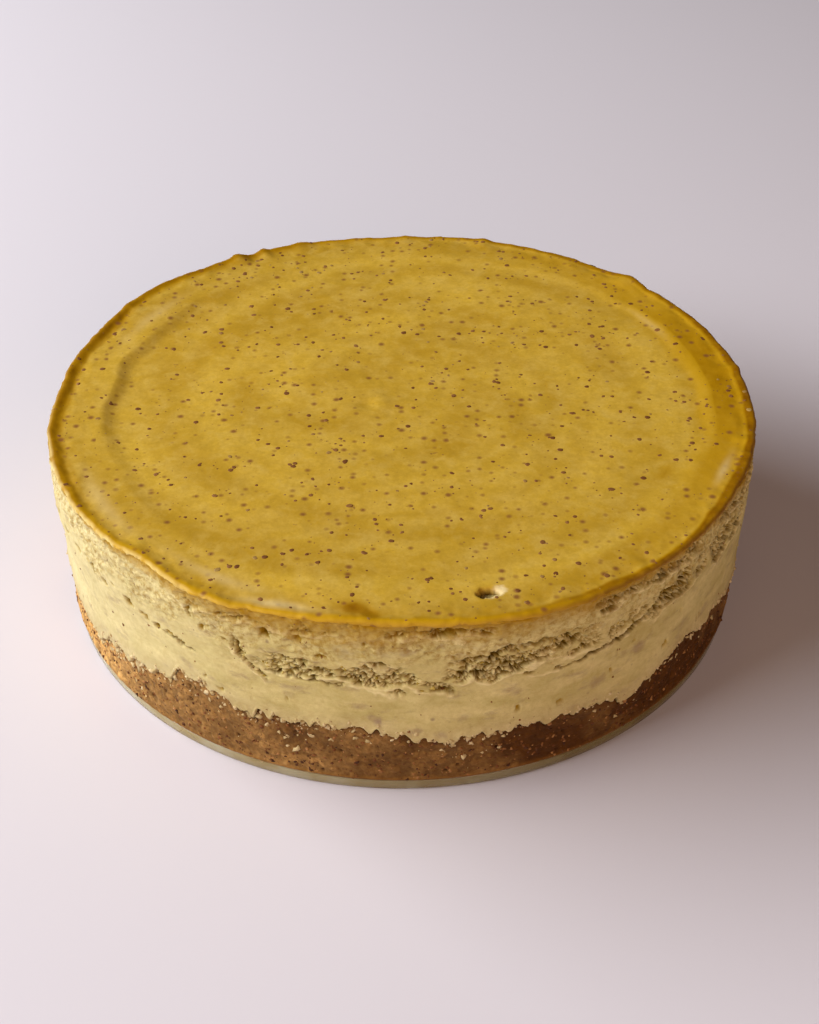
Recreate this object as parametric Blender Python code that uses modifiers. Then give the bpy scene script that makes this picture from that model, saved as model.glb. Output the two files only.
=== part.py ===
"""A whole baked pistachio cheesecake on the glass base of its springform tin.

Metres, +Z up. The origin is the middle of the base's underside, and the front looks along -Y.
Azimuths are in degrees, from +X towards +Y. Three pieces lie on each other: the glass base, the
pressed biscuit crust, and the filling with its baked rim, shallow dish and the rough places that
tore open when the ring of the tin came off.
"""

import math

import bmesh
import bpy
import numpy as np
from mathutils import Vector, noise

# Driving dimensions
TIN_RADIUS = 0.1150
CAKE_HEIGHT = 0.0657
BASE_RADIUS = 0.1138
BASE_THICKNESS = 0.0040
BASE_EDGE = 0.0013
CRUST_RADIUS = 0.1145
CRUST_LEVEL = 0.0215
GAP = 0.0003

# Top of the filling, from the rim inwards. Radii are shares of the tin's radius.
CREST_SHARE = 0.978
RING_SHARE = 0.930
RING_DROP = 0.0012
STEP_SHARE = 0.830
STEP_SHIFT = 0.045
STEP_WIDTH = 0.035
STEP_DROP = 0.0012
BOWL_DEPTH = 0.0012
RIM_ROUNDING = 0.0016
LIP_HEIGHT = 0.0030
LIP_UNDERCUT = 0.0007

# The top's own shape fades out down the side, and the crust's line fades out up the side.
TOP_FADES_OVER = 0.0090
CRUST_FADES_OVER = 0.0140
LOBES_BELOW_LIP = 0.45
WAVES_END_SHARE = 0.75

# Small crater where a crumb came out of the top.
CRATER_AZIMUTH = 284.0
CRATER_SHARE = 0.900
CRATER_RADII = (0.0044, 0.0022, 0.0030)

# Roughness of the crust's side
CRUMB_RELIEF = 0.0004
CRUMB_SPACING = 0.0090

# Facets
SEGMENTS = 90
BASE_SEGMENTS = 96
BASE_EDGE_STEPS = 3
TOP_STEPS = 13
SIDE_STEPS = 16
CRUST_SIDE_STEPS = 6
SEAM_SHARES = (0.95, 0.85, 0.75, 0.40, 0.0)

# (azimuth, half width, outward): where the rim stands out or is drawn in
RIM_LOBES = (
    (143.0, 9.0, 0.0014),
    (44.0, 4.0, 0.0013),
    (31.0, 8.0, 0.0006),
    (95.0, 12.0, -0.0010),
    (162.0, 6.0, -0.0006),
    (178.0, 8.0, -0.0011),
    (229.0, 4.5, -0.0015),
    (243.0, 5.5, 0.0014),
    (267.0, 12.0, -0.0008),
    (291.0, 11.0, 0.0011),
    (329.0, 10.0, -0.0007),
)

# (azimuth, half width, upward): where the rim rises or sags
RIM_RISES = (
    (10.0, 24.0, 0.0004),
    (92.0, 20.0, -0.0005),
    (143.0, 12.0, 0.0008),
    (205.0, 20.0, -0.0004),
    (266.0, 14.0, 0.0006),
    (310.0, 16.0, -0.0003),
)

# (azimuth, half width, upward): waves in the line where the filling meets the crust
CRUST_WAVES = (
    (210.0, 9.0, -0.0040),
    (238.0, 6.5, 0.0080),
    (252.0, 6.0, 0.0030),
    (264.0, 6.0, 0.0035),
    (276.0, 4.0, -0.0020),
    (306.0, 5.0, -0.0040),
    (319.0, 3.5, 0.0032),
    (329.0, 3.5, 0.0030),
    (345.0, 9.0, -0.0025),
    (18.0, 9.0, 0.0030),
    (52.0, 12.0, -0.0025),
    (92.0, 8.0, 0.0035),
    (124.0, 10.0, -0.0020),
    (160.0, 8.0, 0.0030),
    (184.0, 8.0, -0.0010),
)

# Torn bands in the side: (from azimuth, to azimuth, height there, height here, half height, depth)
TEARS = (
    (193.0, 206.0, 0.0500, 0.0470, 0.0020, 0.0010),
    (212.0, 236.0, 0.0450, 0.0445, 0.0022, 0.0012),
    (245.0, 251.0, 0.0530, 0.0400, 0.0028, 0.0014),
    (249.0, 272.0, 0.0470, 0.0475, 0.0036, 0.0022),
    (270.0, 278.0, 0.0460, 0.0420, 0.0030, 0.0016),
    (275.0, 299.0, 0.0485, 0.0505, 0.0055, 0.0028),
    (295.0, 311.0, 0.0425, 0.0490, 0.0022, 0.0018),
    (307.0, 323.0, 0.0500, 0.0520, 0.0055, 0.0026),
    (324.0, 339.0, 0.0515, 0.0510, 0.0062, 0.0028),
    (345.0, 372.0, 0.0480, 0.0500, 0.0040, 0.0022),
    (18.0, 47.0, 0.0490, 0.0460, 0.0045, 0.0024),
    (54.0, 76.0, 0.0470, 0.0510, 0.0035, 0.0018),
    (84.0, 118.0, 0.0500, 0.0480, 0.0050, 0.0026),
    (124.0, 146.0, 0.0460, 0.0475, 0.0030, 0.0016),
    (152.0, 186.0, 0.0490, 0.0500, 0.0045, 0.0022),
    (235.0, 263.0, 0.0598, 0.0600, 0.0018, 0.0010),
    (267.0, 284.0, 0.0612, 0.0612, 0.0016, 0.0012),
    (297.0, 316.0, 0.0600, 0.0606, 0.0018, 0.0012),
    (5.0, 40.0, 0.0602, 0.0600, 0.0018, 0.0010),
    (70.0, 105.0, 0.0600, 0.0604, 0.0018, 0.0010),
    (130.0, 160.0, 0.0604, 0.0600, 0.0018, 0.0010),
)
TEAR_END_SHARE = 0.25


def clear_scene():
    for existing in list(bpy.data.objects):
        bpy.data.objects.remove(existing, do_unlink=True)


def new_collection(name, rendered=True):
    made = bpy.data.collections.new(name)
    made.hide_render = not rendered
    bpy.context.scene.collection.children.link(made)
    return made


def move_to(obj, collection):
    for holder in list(obj.users_collection):
        holder.objects.unlink(obj)
    collection.objects.link(obj)


def principled(name, colour, roughness, transmission=0.0):
    material = bpy.data.materials.new(name)
    material.use_nodes = True
    shader = material.node_tree.nodes["Principled BSDF"]
    shader.inputs["Base Color"].default_value = (*colour, 1.0)
    shader.inputs["Roughness"].default_value = roughness
    shader.inputs["Metallic"].default_value = 0.0
    shader.inputs["Transmission Weight"].default_value = transmission
    return material


def smooth(value):
    """0 below 0, 1 above 1, and an even S between."""
    t = np.clip(value, 0.0, 1.0)
    return t * t * (3.0 - 2.0 * t)


def turn_from(middle, azimuth):
    """Degrees from middle to azimuth, within half a turn either way."""
    return (azimuth - middle + 180.0) % 360.0 - 180.0


def swell(azimuth, humps):
    """The sum of smooth humps round the cake, each (azimuth, half width, amount)."""
    total = np.zeros_like(azimuth)
    for middle, half_width, amount in humps:
        total += amount * np.exp(-((turn_from(middle, azimuth) / half_width) ** 2))
    return total


def tear_depth(azimuth, height):
    """How far the torn bands sink into the side at each point."""
    deepest = np.zeros_like(height)
    for start, end, start_height, end_height, half_height, depth in TEARS:
        half_turn = (end - start) / 2.0
        along = turn_from(start + half_turn, azimuth) / half_turn
        middle = start_height + (end_height - start_height) * (np.clip(along, -1, 1) + 1) / 2
        across = (height - middle) / half_height
        reach = smooth((1.0 - np.abs(along)) / TEAR_END_SHARE)
        deepest = np.maximum(deepest, depth * reach * np.exp(-(across**4)))
    return deepest


def top_level(share, azimuth):
    """Height of the top: a low rounded rim, a ring, a soft step and a shallow bowl."""
    rise = swell(azimuth, RIM_RISES) * smooth((share - 0.6) / (CREST_SHARE - 0.6))
    ring = RING_DROP * smooth((CREST_SHARE - share) / (CREST_SHARE - RING_SHARE))
    step_share = STEP_SHARE + STEP_SHIFT * np.cos(np.radians(azimuth))
    step = STEP_DROP * smooth((step_share - share) / STEP_WIDTH)
    bowl = BOWL_DEPTH * np.clip(1.0 - (share / STEP_SHARE) ** 2, 0.0, 1.0)
    return CAKE_HEIGHT + rise - ring - step - bowl


def crust_line(share, azimuth):
    """Height at which the filling meets the crust. Its waves show only at the side."""
    depth_share = (share - WAVES_END_SHARE) / (SEAM_SHARES[0] - WAVES_END_SHARE)
    return CRUST_LEVEL + swell(azimuth, CRUST_WAVES) * smooth(depth_share)


def ordinates(mesh):
    """The mesh's points as radius, azimuth in degrees and height."""
    flat = np.empty(len(mesh.vertices) * 3)
    mesh.vertices.foreach_get("co", flat)
    x, y, z = flat.reshape(-1, 3).T
    return np.hypot(x, y), np.degrees(np.arctan2(y, x)), z


def place_points(mesh, radius, azimuth, height):
    """Moves the points, then splits each face by its shorter diagonal, so that pieces that
    lie on each other bend along the same lines."""
    turn = np.radians(azimuth)
    points = np.stack([radius * np.cos(turn), radius * np.sin(turn), height], axis=1)
    mesh.vertices.foreach_set("co", points.ravel())
    mesh.update()
    faceted = bmesh.new()
    faceted.from_mesh(mesh)
    bmesh.ops.triangulate(faceted, faces=faceted.faces[:], quad_method="SHORT_EDGE")
    faceted.to_mesh(mesh)
    faceted.free()


def turned(name, profile, collection):
    """A solid turned round the Z axis from an outline that runs down its outer side."""
    outline = bpy.data.meshes.new(name + "_outline")
    edges = [(i, i + 1) for i in range(len(profile) - 1)]
    outline.from_pydata([(r, 0.0, z) for r, z in profile], edges, [])
    guide = bpy.data.objects.new(name + "_outline", outline)
    collection.objects.link(guide)
    screw = guide.modifiers.new("turn", "SCREW")
    screw.axis = "Z"
    screw.angle = math.tau
    screw.steps = SEGMENTS
    screw.render_steps = SEGMENTS
    screw.use_merge_vertices = True
    screw.merge_threshold = 0.00005
    graph = bpy.context.evaluated_depsgraph_get()
    mesh = bpy.data.meshes.new_from_object(guide.evaluated_get(graph))
    mesh.name = name
    bpy.data.objects.remove(guide)
    made = bpy.data.objects.new(name, mesh)
    collection.objects.link(made)
    return made


def finish(obj, material, crease_degrees):
    obj.data.materials.clear()
    obj.data.materials.append(material)
    obj.data.shade_smooth()
    obj.data.set_sharp_from_angle(angle=math.radians(crease_degrees))


def make_tin_base(collection):
    """A round sheet of tempered glass with a rounded edge, flat underneath."""
    bpy.ops.mesh.primitive_cylinder_add(
        vertices=BASE_SEGMENTS,
        radius=BASE_RADIUS,
        depth=BASE_THICKNESS,
        location=(0.0, 0.0, BASE_THICKNESS / 2.0),
    )
    base = bpy.context.object
    base.name = "tin_base"
    move_to(base, collection)
    edge = base.modifiers.new("rounded_edge", "BEVEL")
    edge.width = BASE_EDGE
    edge.segments = BASE_EDGE_STEPS
    edge.limit_method = "ANGLE"
    edge.angle_limit = math.radians(40.0)
    finish(base, principled("tempered_glass", (0.80, 0.86, 0.80), 0.08, 1.0), 50.0)
    return base


def crust_profile():
    """Level top, side and underside of the pressed crumb, before its waves."""
    foot = BASE_THICKNESS + GAP
    side = np.linspace(CRUST_LEVEL, foot, CRUST_SIDE_STEPS)
    top = [(TIN_RADIUS * share, CRUST_LEVEL) for share in reversed(SEAM_SHARES)]
    wall = [(CRUST_RADIUS, height) for height in side]
    return top + wall + [(CRUST_RADIUS / 2.0, foot), (0.0, foot)]


def make_biscuit_crust(collection):
    """Pressed biscuit crumb that runs through under the filling."""
    crust = turned("biscuit_crust", crust_profile(), collection)
    radius, azimuth, height = ordinates(crust.data)
    share = radius / TIN_RADIUS
    foot = BASE_THICKNESS + GAP
    lift = (height - foot) / (CRUST_LEVEL - foot)
    outer = smooth((share - SEAM_SHARES[0]) / (1.0 - SEAM_SHARES[0]))
    turn = np.radians(azimuth)
    places = np.stack([np.cos(turn) * TIN_RADIUS, np.sin(turn) * TIN_RADIUS, height], axis=1)
    crumb = np.array([noise.noise(Vector(place) / CRUMB_SPACING) for place in places])
    new_height = height + lift * (crust_line(share, azimuth) - CRUST_LEVEL)
    new_radius = radius + outer * CRUMB_RELIEF * crumb
    place_points(crust.data, new_radius, azimuth, new_height)
    finish(crust, principled("baked_biscuit_crumb", (0.22, 0.085, 0.025), 0.75), 60.0)
    return crust


def filling_profile():
    """Outline of the filling with a flat top, before its rim, dish and tears."""
    top_shares = 1.0 - (1.0 - np.linspace(0.0, 1.0, TOP_STEPS)) ** 1.5
    top = [(TIN_RADIUS * CREST_SHARE * share, CAKE_HEIGHT) for share in top_shares]
    lip_bottom = CAKE_HEIGHT - LIP_HEIGHT
    rounding = [
        (TIN_RADIUS - RIM_ROUNDING * 0.35, CAKE_HEIGHT - RIM_ROUNDING * 0.30),
        (TIN_RADIUS, CAKE_HEIGHT - RIM_ROUNDING),
        (TIN_RADIUS, lip_bottom + LIP_UNDERCUT),
    ]
    underside = CRUST_LEVEL + GAP
    side = [
        (TIN_RADIUS - LIP_UNDERCUT, height)
        for height in np.linspace(lip_bottom, underside, SIDE_STEPS)
    ]
    bottom = [(TIN_RADIUS * share, underside) for share in SEAM_SHARES]
    return top + rounding + side + bottom


def make_filling(collection, crater_cutter):
    """The baked pistachio filling, with its rim, shallow dish, torn bands and crater."""
    filling = turned("pistachio_filling", filling_profile(), collection)
    radius, azimuth, height = ordinates(filling.data)
    share = radius / TIN_RADIUS
    underside = CRUST_LEVEL + GAP
    at_side = smooth((share - 0.90) / 0.07)
    top_part = smooth(1.0 - (CAKE_HEIGHT - height) / TOP_FADES_OVER)
    low_part = smooth(1.0 - (height - underside) / CRUST_FADES_OVER)
    lobes = swell(azimuth, RIM_LOBES) * (LOBES_BELOW_LIP + (1.0 - LOBES_BELOW_LIP) * top_part)
    lobes = lobes * (1.0 - low_part)
    new_height = (
        height
        + top_part * (top_level(share, azimuth) - CAKE_HEIGHT)
        + low_part * (crust_line(share, azimuth) - CRUST_LEVEL)
    )
    new_radius = radius + at_side * lobes
    on_wall = (share > 0.98) & (height < CAKE_HEIGHT - RIM_ROUNDING)
    new_radius = new_radius - np.where(on_wall, tear_depth(azimuth, height), 0.0)
    place_points(filling.data, new_radius, azimuth, new_height)
    crater = filling.modifiers.new("crater", "BOOLEAN")
    crater.operation = "DIFFERENCE"
    crater.object = crater_cutter
    crater.solver = "EXACT"
    finish(filling, principled("baked_pistachio_custard", (0.50, 0.32, 0.05), 0.45), 60.0)
    return filling


def make_crater_cutter(collection):
    """An egg-shaped hollow that opens in the top near the front of the rim."""
    turn = math.radians(CRATER_AZIMUTH)
    radius = TIN_RADIUS * CRATER_SHARE
    level = float(top_level(np.array([CRATER_SHARE]), np.array([CRATER_AZIMUTH]))[0])
    bpy.ops.mesh.primitive_uv_sphere_add(
        segments=14,
        ring_count=8,
        radius=1.0,
        location=(radius * math.cos(turn), radius * math.sin(turn), level),
        rotation=(0.0, 0.0, turn + math.pi / 2.0),
    )
    cutter = bpy.context.object
    cutter.name = "crater_cutter"
    cutter.scale = CRATER_RADII
    cutter.display_type = "WIRE"
    cutter.hide_render = True
    move_to(cutter, collection)
    bpy.context.view_layer.update()
    return cutter


def main():
    clear_scene()
    cake = new_collection("pistachio_cheesecake")
    cutters = new_collection("cutters", rendered=False)
    make_tin_base(cake)
    make_biscuit_crust(cake)
    make_filling(cake, make_crater_cutter(cutters))


main()
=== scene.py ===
"""Looks of the pistachio cheesecake: a browned satin skin over pale torn custard, a grainy
biscuit crust, and the clear glass base of the tin that it was baked in.

Metres, +Z up. Azimuths are in degrees from +X towards +Y, and the front looks along -Y.
"""
import math

import bmesh
import bpy
import numpy as np
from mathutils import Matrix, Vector, noise


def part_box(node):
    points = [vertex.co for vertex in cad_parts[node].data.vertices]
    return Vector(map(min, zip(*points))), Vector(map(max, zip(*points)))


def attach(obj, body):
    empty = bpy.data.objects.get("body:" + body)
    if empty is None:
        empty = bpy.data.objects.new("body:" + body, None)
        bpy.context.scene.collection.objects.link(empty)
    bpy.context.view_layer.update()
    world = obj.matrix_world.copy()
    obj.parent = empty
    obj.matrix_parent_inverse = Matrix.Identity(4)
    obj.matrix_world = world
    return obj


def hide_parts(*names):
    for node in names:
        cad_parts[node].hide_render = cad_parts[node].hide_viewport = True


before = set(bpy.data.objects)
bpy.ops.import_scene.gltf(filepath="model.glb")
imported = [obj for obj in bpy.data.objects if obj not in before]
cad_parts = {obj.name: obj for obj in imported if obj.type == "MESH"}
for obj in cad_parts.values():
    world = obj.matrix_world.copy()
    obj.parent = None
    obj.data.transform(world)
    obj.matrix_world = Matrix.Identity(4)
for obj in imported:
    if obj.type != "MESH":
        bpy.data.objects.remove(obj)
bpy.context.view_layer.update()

MM = 0.001
PER_MM = 1.0 / MM
FLOOR_COLOUR = "#D7D1D6"

# Sizes that the solids share
TIN_RADIUS = 115.0 * MM
GLASS_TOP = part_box("tin_base")[1].z
GLASS_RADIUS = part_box("tin_base")[1].x
CRUST_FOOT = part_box("biscuit_crust")[0].z
CRUST_RADIUS = 114.5 * MM
CRUST_LEVEL = 21.5 * MM
CAKE_HEIGHT = 65.7 * MM

# The top, from the rim inwards. Shares are of the tin's radius.
CREST_SHARE = 0.989
RING_SHARE = 0.962
RING_DROP = 0.25 * MM
STEP_SHARE = 0.868
STEP_SHIFT = 0.018
STEP_WIDTH = 0.047
STEP_MEAN_DROP = 0.45 * MM
BOWL_DEPTH = 1.2 * MM
RIM_ROUNDING = 0.85 * MM
LIP_HEIGHT = 1.20 * MM
LIP_STAND = 0.12 * MM
TOP_FADES_OVER = 9.0 * MM
CRUST_FADES_OVER = 14.0 * MM
LOBES_BELOW_LIP = 0.45

# How much closer together the columns of faces are at the front, and how far round that goes
FRONT_AZIMUTH = 270.0
FRONT_HALF_TURN = 88.0
FRONT_FADES_OVER = 20.0
FRONT_FINER = 0.8

# Columns of faces round each piece
CUSTARD_COLUMNS = 1000
SKIN_COLUMNS = 840
CRUMB_COLUMNS = 1400

# The side of the filling: between which heights its rows are closest, how high the rows of its
# foot reach, how thick its torn layers are, and how deep a tear has to be to show its full colour
TORN_FROM = 40.0 * MM
TORN_TO = 56.0 * MM
FOOT_ROWS_TALL = 1.8 * MM
LAYER_THICKNESS = 2.6 * MM
FULLY_DEEP = 2.2 * MM

# The crater that a crumb left near the front of the rim
CRATER_AZIMUTH = 284.0
CRATER_SHARE = 0.900
CRATER_LONG = 3.9 * MM
CRATER_WIDE = 2.3 * MM
CRATER_DEPTH = 3.2 * MM
CRATER_SLANT = 24.0

# The dimple where the last of the batter dropped from the spoon, the fold beside it, and how far
# apart the spoon's strokes are
DIMPLE_X = -11.5 * MM
DIMPLE_Y = -3.0 * MM
DIMPLE_DEPTH = 0.70 * MM
DIMPLE_HALF_WIDTH = 3.2 * MM
FOLD_RISE = 0.42 * MM
STROKE_SPACING = 13.0 * MM

# Where the camera is and what it looks at, its lens, and the floor
CAMERA_DISTANCE = 0.525
CAMERA_ELEVATION = 37.38
CAMERA_TARGET = (2.5 * MM, 0.0, 16.6 * MM)
CAMERA_LENS = 52.73
FLOOR_HALF_SIDE = 3.0

# (azimuth, half width, outward in mm): where the rim stands out or is drawn in
RIM_LOBES = (
    (143, 9, 1.4), (44, 4, 1.3), (31, 8, 0.6), (95, 12, -1.0), (162, 6, -0.6), (178, 8, -1.1),
    (229, 4.5, -1.5), (243, 5.5, 1.4), (267, 12, -0.8), (291, 11, 1.1), (329, 10, -0.7),
)

# (azimuth, half width, upward in mm): where the rim rises or sags, and small nodules on it
RIM_RISES = (
    (10, 24, 0.4), (92, 20, -0.5), (143, 12, 0.8), (205, 20, -0.4), (266, 14, 0.6), (310, 16, -0.3),
)
RIM_NODULES = (
    (123.5, 1.6, 1.2), (118.0, 1.1, 0.9), (111.0, 2.0, 0.5), (74.0, 1.4, 0.8), (43.0, 2.2, 0.8),
    (55.0, 1.2, 0.4), (150.0, 1.2, 0.5), (161.0, 1.4, 0.4), (8.0, 1.0, 0.4), (346.0, 1.2, 0.5),
    (214.0, 1.0, 0.3), (226.0, 1.3, 0.3), (90.0, 1.5, 0.4),
)

# (azimuth, half width, downward in mm): how far the top falls at the step inside the rim
STEP_DROPS = (
    (172, 34, 1.5), (5, 34, 0.6), (268, 40, 0.25), (90, 40, 0.25),
)
# (azimuth, half width, upward in mm): the raised ridge along the rim
RIDGE_RISES = ((172, 40, 0.80), (20, 40, 0.15), (110, 20, 0.35))
RIDGE_MEAN = 0.25 * MM

# (azimuth, half width, upward in mm): waves in the line where the filling meets the crust
CRUST_WAVES = (
    (210, 9, -4.0), (238, 6.5, 8.0), (252, 6, 3.0), (264, 6, 3.5), (276, 4, -2.0),
    (306, 5, -4.0), (319, 3.5, 3.2), (329, 3.5, 3.0), (345, 9, -2.5), (18, 9, 3.0),
    (52, 12, -2.5), (92, 8, 3.5), (124, 10, -2.0), (160, 8, 3.0), (184, 8, -1.0),
)

# (azimuth, half width, downward in mm): tongues of custard that ran down over the crust
CUSTARD_TONGUES = (
    (214, 0.9, 1.6), (219, 0.8, 1.8), (224, 1.1, 2.2), (228.5, 0.8, 2.0), (233, 1.1, 2.6),
    (245, 0.5, 2.6), (248, 0.4, 2.8), (254, 0.7, 2.2), (283, 0.8, 1.6), (306, 1.6, 1.5),
    (12, 0.7, 2.0), (40, 0.9, 2.5), (77, 0.6, 2.0), (101, 0.8, 3.0), (133, 0.7, 2.0),
    (171, 0.9, 2.5), (196, 0.7, 1.8),
)

# Torn bands: (from azimuth, to azimuth, height at the first, height at the last, half height,
# depth), in mm
TEARS = (
    (245, 251, 53.0, 40.0, 2.0, 1.2), (249, 272, 48.0, 46.5, 4.0, 1.5),
    (262, 271, 44.5, 41.5, 1.6, 1.8), (270, 278, 45.0, 41.5, 2.2, 1.8),
    (276, 300, 49.0, 50.5, 4.6, 2.4), (288, 294, 43.5, 43.0, 1.6, 2.4),
    (296, 312, 43.0, 50.0, 0.9, 2.8), (300, 309, 49.0, 52.0, 2.6, 1.4),
    (309, 323, 50.5, 53.0, 4.2, 3.0), (324, 339, 52.5, 51.0, 5.4, 3.4),
    (345, 372, 48.0, 50.0, 4.0, 2.6),
    (18, 47, 49.0, 46.0, 4.5, 2.6), (54, 76, 47.0, 51.0, 3.5, 2.2),
    (84, 118, 50.0, 48.0, 4.6, 2.6), (124, 146, 46.0, 47.5, 3.0, 2.2),
    (152, 184, 49.0, 50.0, 4.2, 2.4),
    (236, 262, 60.2, 61.2, 1.4, 1.0), (266, 284, 62.0, 62.2, 1.6, 2.0),
    (297, 322, 60.8, 61.0, 2.0, 3.0), (326, 348, 60.6, 60.4, 1.6, 2.6),
    (5, 40, 61.2, 61.0, 1.4, 1.4),
    (70, 105, 61.0, 61.4, 1.4, 1.4), (130, 160, 61.4, 61.0, 1.4, 1.2),
)
TEAR_END_SHARE = 0.25

# Thin cracks: (from azimuth, height there, to azimuth, height there, half width, depth), in mm
CRACKS = (
    (293, 41.5, 303, 44.6, 0.35, 1.6), (303, 44.6, 311, 49.8, 0.60, 3.0),
    (311, 49.8, 318, 52.0, 0.45, 2.2), (251, 43.5, 262, 42.8, 0.30, 1.0),
    (231, 43.2, 239, 41.6, 0.30, 1.0), (283, 53.5, 296, 55.0, 0.28, 0.9),
    (326, 57.5, 340, 58.0, 0.30, 1.2), (47, 46.5, 56, 48.5, 0.40, 1.8),
    (118, 48.0, 125, 46.0, 0.35, 1.4), (146, 47.0, 154, 49.5, 0.40, 1.6),
    (0, 44.0, 14, 42.8, 0.30, 1.0), (184, 49.5, 201, 51.5, 0.30, 1.0),
    (66, 53.5, 84, 54.5, 0.30, 1.0), (96, 42.0, 109, 43.0, 0.30, 1.0),
)

# Single pits: (azimuth, height, half width, half height, depth), in mm
PITS = (
    (203.0, 51.5, 1.4, 1.0, 0.7), (207.0, 50.0, 1.6, 1.1, 0.8), (211.5, 48.5, 1.8, 1.2, 0.9),
    (216.5, 47.6, 1.5, 2.0, 1.8), (219.8, 46.6, 1.5, 1.1, 1.2), (222.0, 48.6, 1.0, 0.8, 0.8),
    (225.8, 46.0, 1.9, 1.6, 3.0), (229.0, 44.0, 1.8, 0.9, 1.2), (231.6, 43.0, 1.4, 1.2, 1.6),
    (234.8, 43.4, 2.2, 0.8, 1.1), (236.5, 42.6, 1.6, 0.7, 0.9), (238.5, 57.0, 0.8, 2.2, 1.3),
    (241.0, 53.0, 1.0, 1.2, 1.0), (244.5, 51.5, 1.6, 0.6, 0.9), (250.8, 57.0, 1.7, 1.8, 2.4),
    (255.5, 57.5, 1.2, 1.0, 1.0), (259.0, 52.5, 1.4, 1.2, 1.3), (254.0, 34.0, 0.9, 0.7, 0.8),
    (240.5, 34.0, 0.9, 0.6, 0.8), (243.0, 31.0, 1.6, 0.6, 1.0), (265.0, 58.0, 1.0, 0.8, 1.0),
    (287.0, 30.0, 1.2, 0.9, 1.4), (293.5, 28.0, 1.0, 1.0, 1.0), (306.0, 41.0, 1.0, 0.5, 0.8),
    (313.5, 31.0, 1.0, 1.8, 1.4), (323.0, 28.6, 1.2, 0.8, 1.2), (302.0, 33.0, 0.8, 0.6, 0.8),
)

# (azimuth, half width, height, half height, outward in mm): slow swellings of the side
SIDE_SWELLS = (
    (203, 13, 49.0, 7.0, 0.9), (205, 15, 33.0, 8.0, -0.8), (345, 14, 44.0, 9.0, 0.5),
    (35, 18, 40.0, 10.0, -0.5), (100, 20, 46.0, 9.0, 0.5), (268, 14, 36.0, 7.0, 0.4),
)

# (azimuth, height, half width, half height, strength), in mm: mauve patches of nut skin
MAUVE_PATCHES = (
    (266.5, 30.0, 2.6, 2.2, 0.9), (272.0, 25.8, 2.4, 1.6, 0.8), (268.0, 24.6, 2.0, 1.5, 0.5),
    (275.5, 23.4, 2.2, 1.6, 0.6), (278.7, 30.0, 2.4, 1.6, 0.5), (307.0, 37.0, 3.0, 3.0, 0.7),
    (300.0, 30.0, 3.4, 2.2, 0.5), (254.0, 36.0, 3.0, 1.8, 0.35), (318.0, 33.0, 3.4, 2.6, 0.5),
    (243.0, 55.0, 2.0, 2.6, 0.4), (262.0, 55.0, 2.6, 2.0, 0.4), (14.0, 34.0, 4.0, 2.4, 0.5),
    (58.0, 30.0, 3.0, 2.0, 0.6), (101.0, 31.0, 3.0, 2.4, 0.6), (139.0, 28.0, 3.0, 2.0, 0.5),
    (178.0, 33.0, 3.4, 2.2, 0.5), (333.0, 41.0, 3.0, 2.4, 0.4),
)

# (azimuth, share, half width, half share, strength): single brown stains on the top
BROWN_STAINS = (
    (263, 0.945, 2.4, 0.030, 1.15), (266, 0.965, 2.2, 0.018, 0.70), (332, 0.800, 4.0, 0.020, 0.60),
    (240, 0.960, 4.0, 0.016, 0.50), (338, 0.760, 3.0, 0.014, 0.35),
    (120, 0.965, 10.0, 0.014, 0.45), (305, 0.955, 9.0, 0.02, 0.25),
    (60, 0.930, 12.0, 0.030, 0.35), (155, 0.640, 5.0, 0.012, 0.15), (283, 0.965, 5.0, 0.012, 0.30),
)

# (azimuth, share, half width, half share, strength): where the skin stayed pale, and, in the first, a
# painted highlight of sheen at the front of the rim
PALE_PATCHES_AND_SHEEN = (
    (252.5, 0.966, 5.0, 0.016, 0.60), (241.0, 0.925, 7.0, 0.014, 0.35), (214.0, 0.930, 9.0, 0.020, 0.30),
    (28.0, 0.860, 6.0, 0.012, 0.25), (337.0, 0.945, 4.0, 0.012, 0.45), (150.0, 0.900, 9.0, 0.018, 0.25),
)

# (azimuth, half width, strength): where smears and bits of custard lie on the crust
SMEARS = (
    (219, 9, 1.6), (238, 5, 1.2), (254, 8, 1.4), (280, 4, 1.5), (318, 5, 0.5), (30, 12, 0.8),
    (85, 10, 1.0), (140, 12, 0.8), (185, 10, 0.9),
)


# ---------------------------------------------------------------- small tools

def smooth(value):
    """0 below 0, 1 above 1, and an even S between."""
    t = np.clip(value, 0.0, 1.0)
    return t * t * (3.0 - 2.0 * t)


def turn_from(middle, azimuth):
    """Degrees from middle to azimuth, within half a turn either way."""
    return (azimuth - middle + 180.0) % 360.0 - 180.0


def bell(azimuth, middle, half_width, power=2):
    """1 at one azimuth, and fading to 0 past that half width. A power of 4 flattens its top."""
    return np.exp(-((turn_from(middle, azimuth) / half_width) ** power))


def swell(azimuth, humps):
    """The sum of smooth humps round the cake, each (azimuth, half width, amount in mm)."""
    total = np.zeros_like(azimuth)
    for middle, half_width, amount in humps:
        total = total + amount * MM * bell(azimuth, middle, half_width)
    return total


def columns_round(count):
    """Azimuths once round the cake, closer together at the front, where it is torn most."""
    turn = np.linspace(0.0, 360.0, 3601)
    off_front = np.abs(turn_from(FRONT_AZIMUTH, turn))
    front = smooth((FRONT_HALF_TURN - off_front) / FRONT_FADES_OVER)
    density = 1.0 + FRONT_FINER * front
    passed = np.concatenate([[0.0], np.cumsum(density[1:])])
    return np.interp(np.linspace(0.0, passed[-1], count, endpoint=False), passed, turn)


def cylindrical(radius, azimuth, height):
    """Points in space, in the shape of the arrays given, with x, y, z last."""
    turn = np.radians(azimuth)
    return np.stack([radius * np.cos(turn), radius * np.sin(turn), height], axis=-1)


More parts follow.
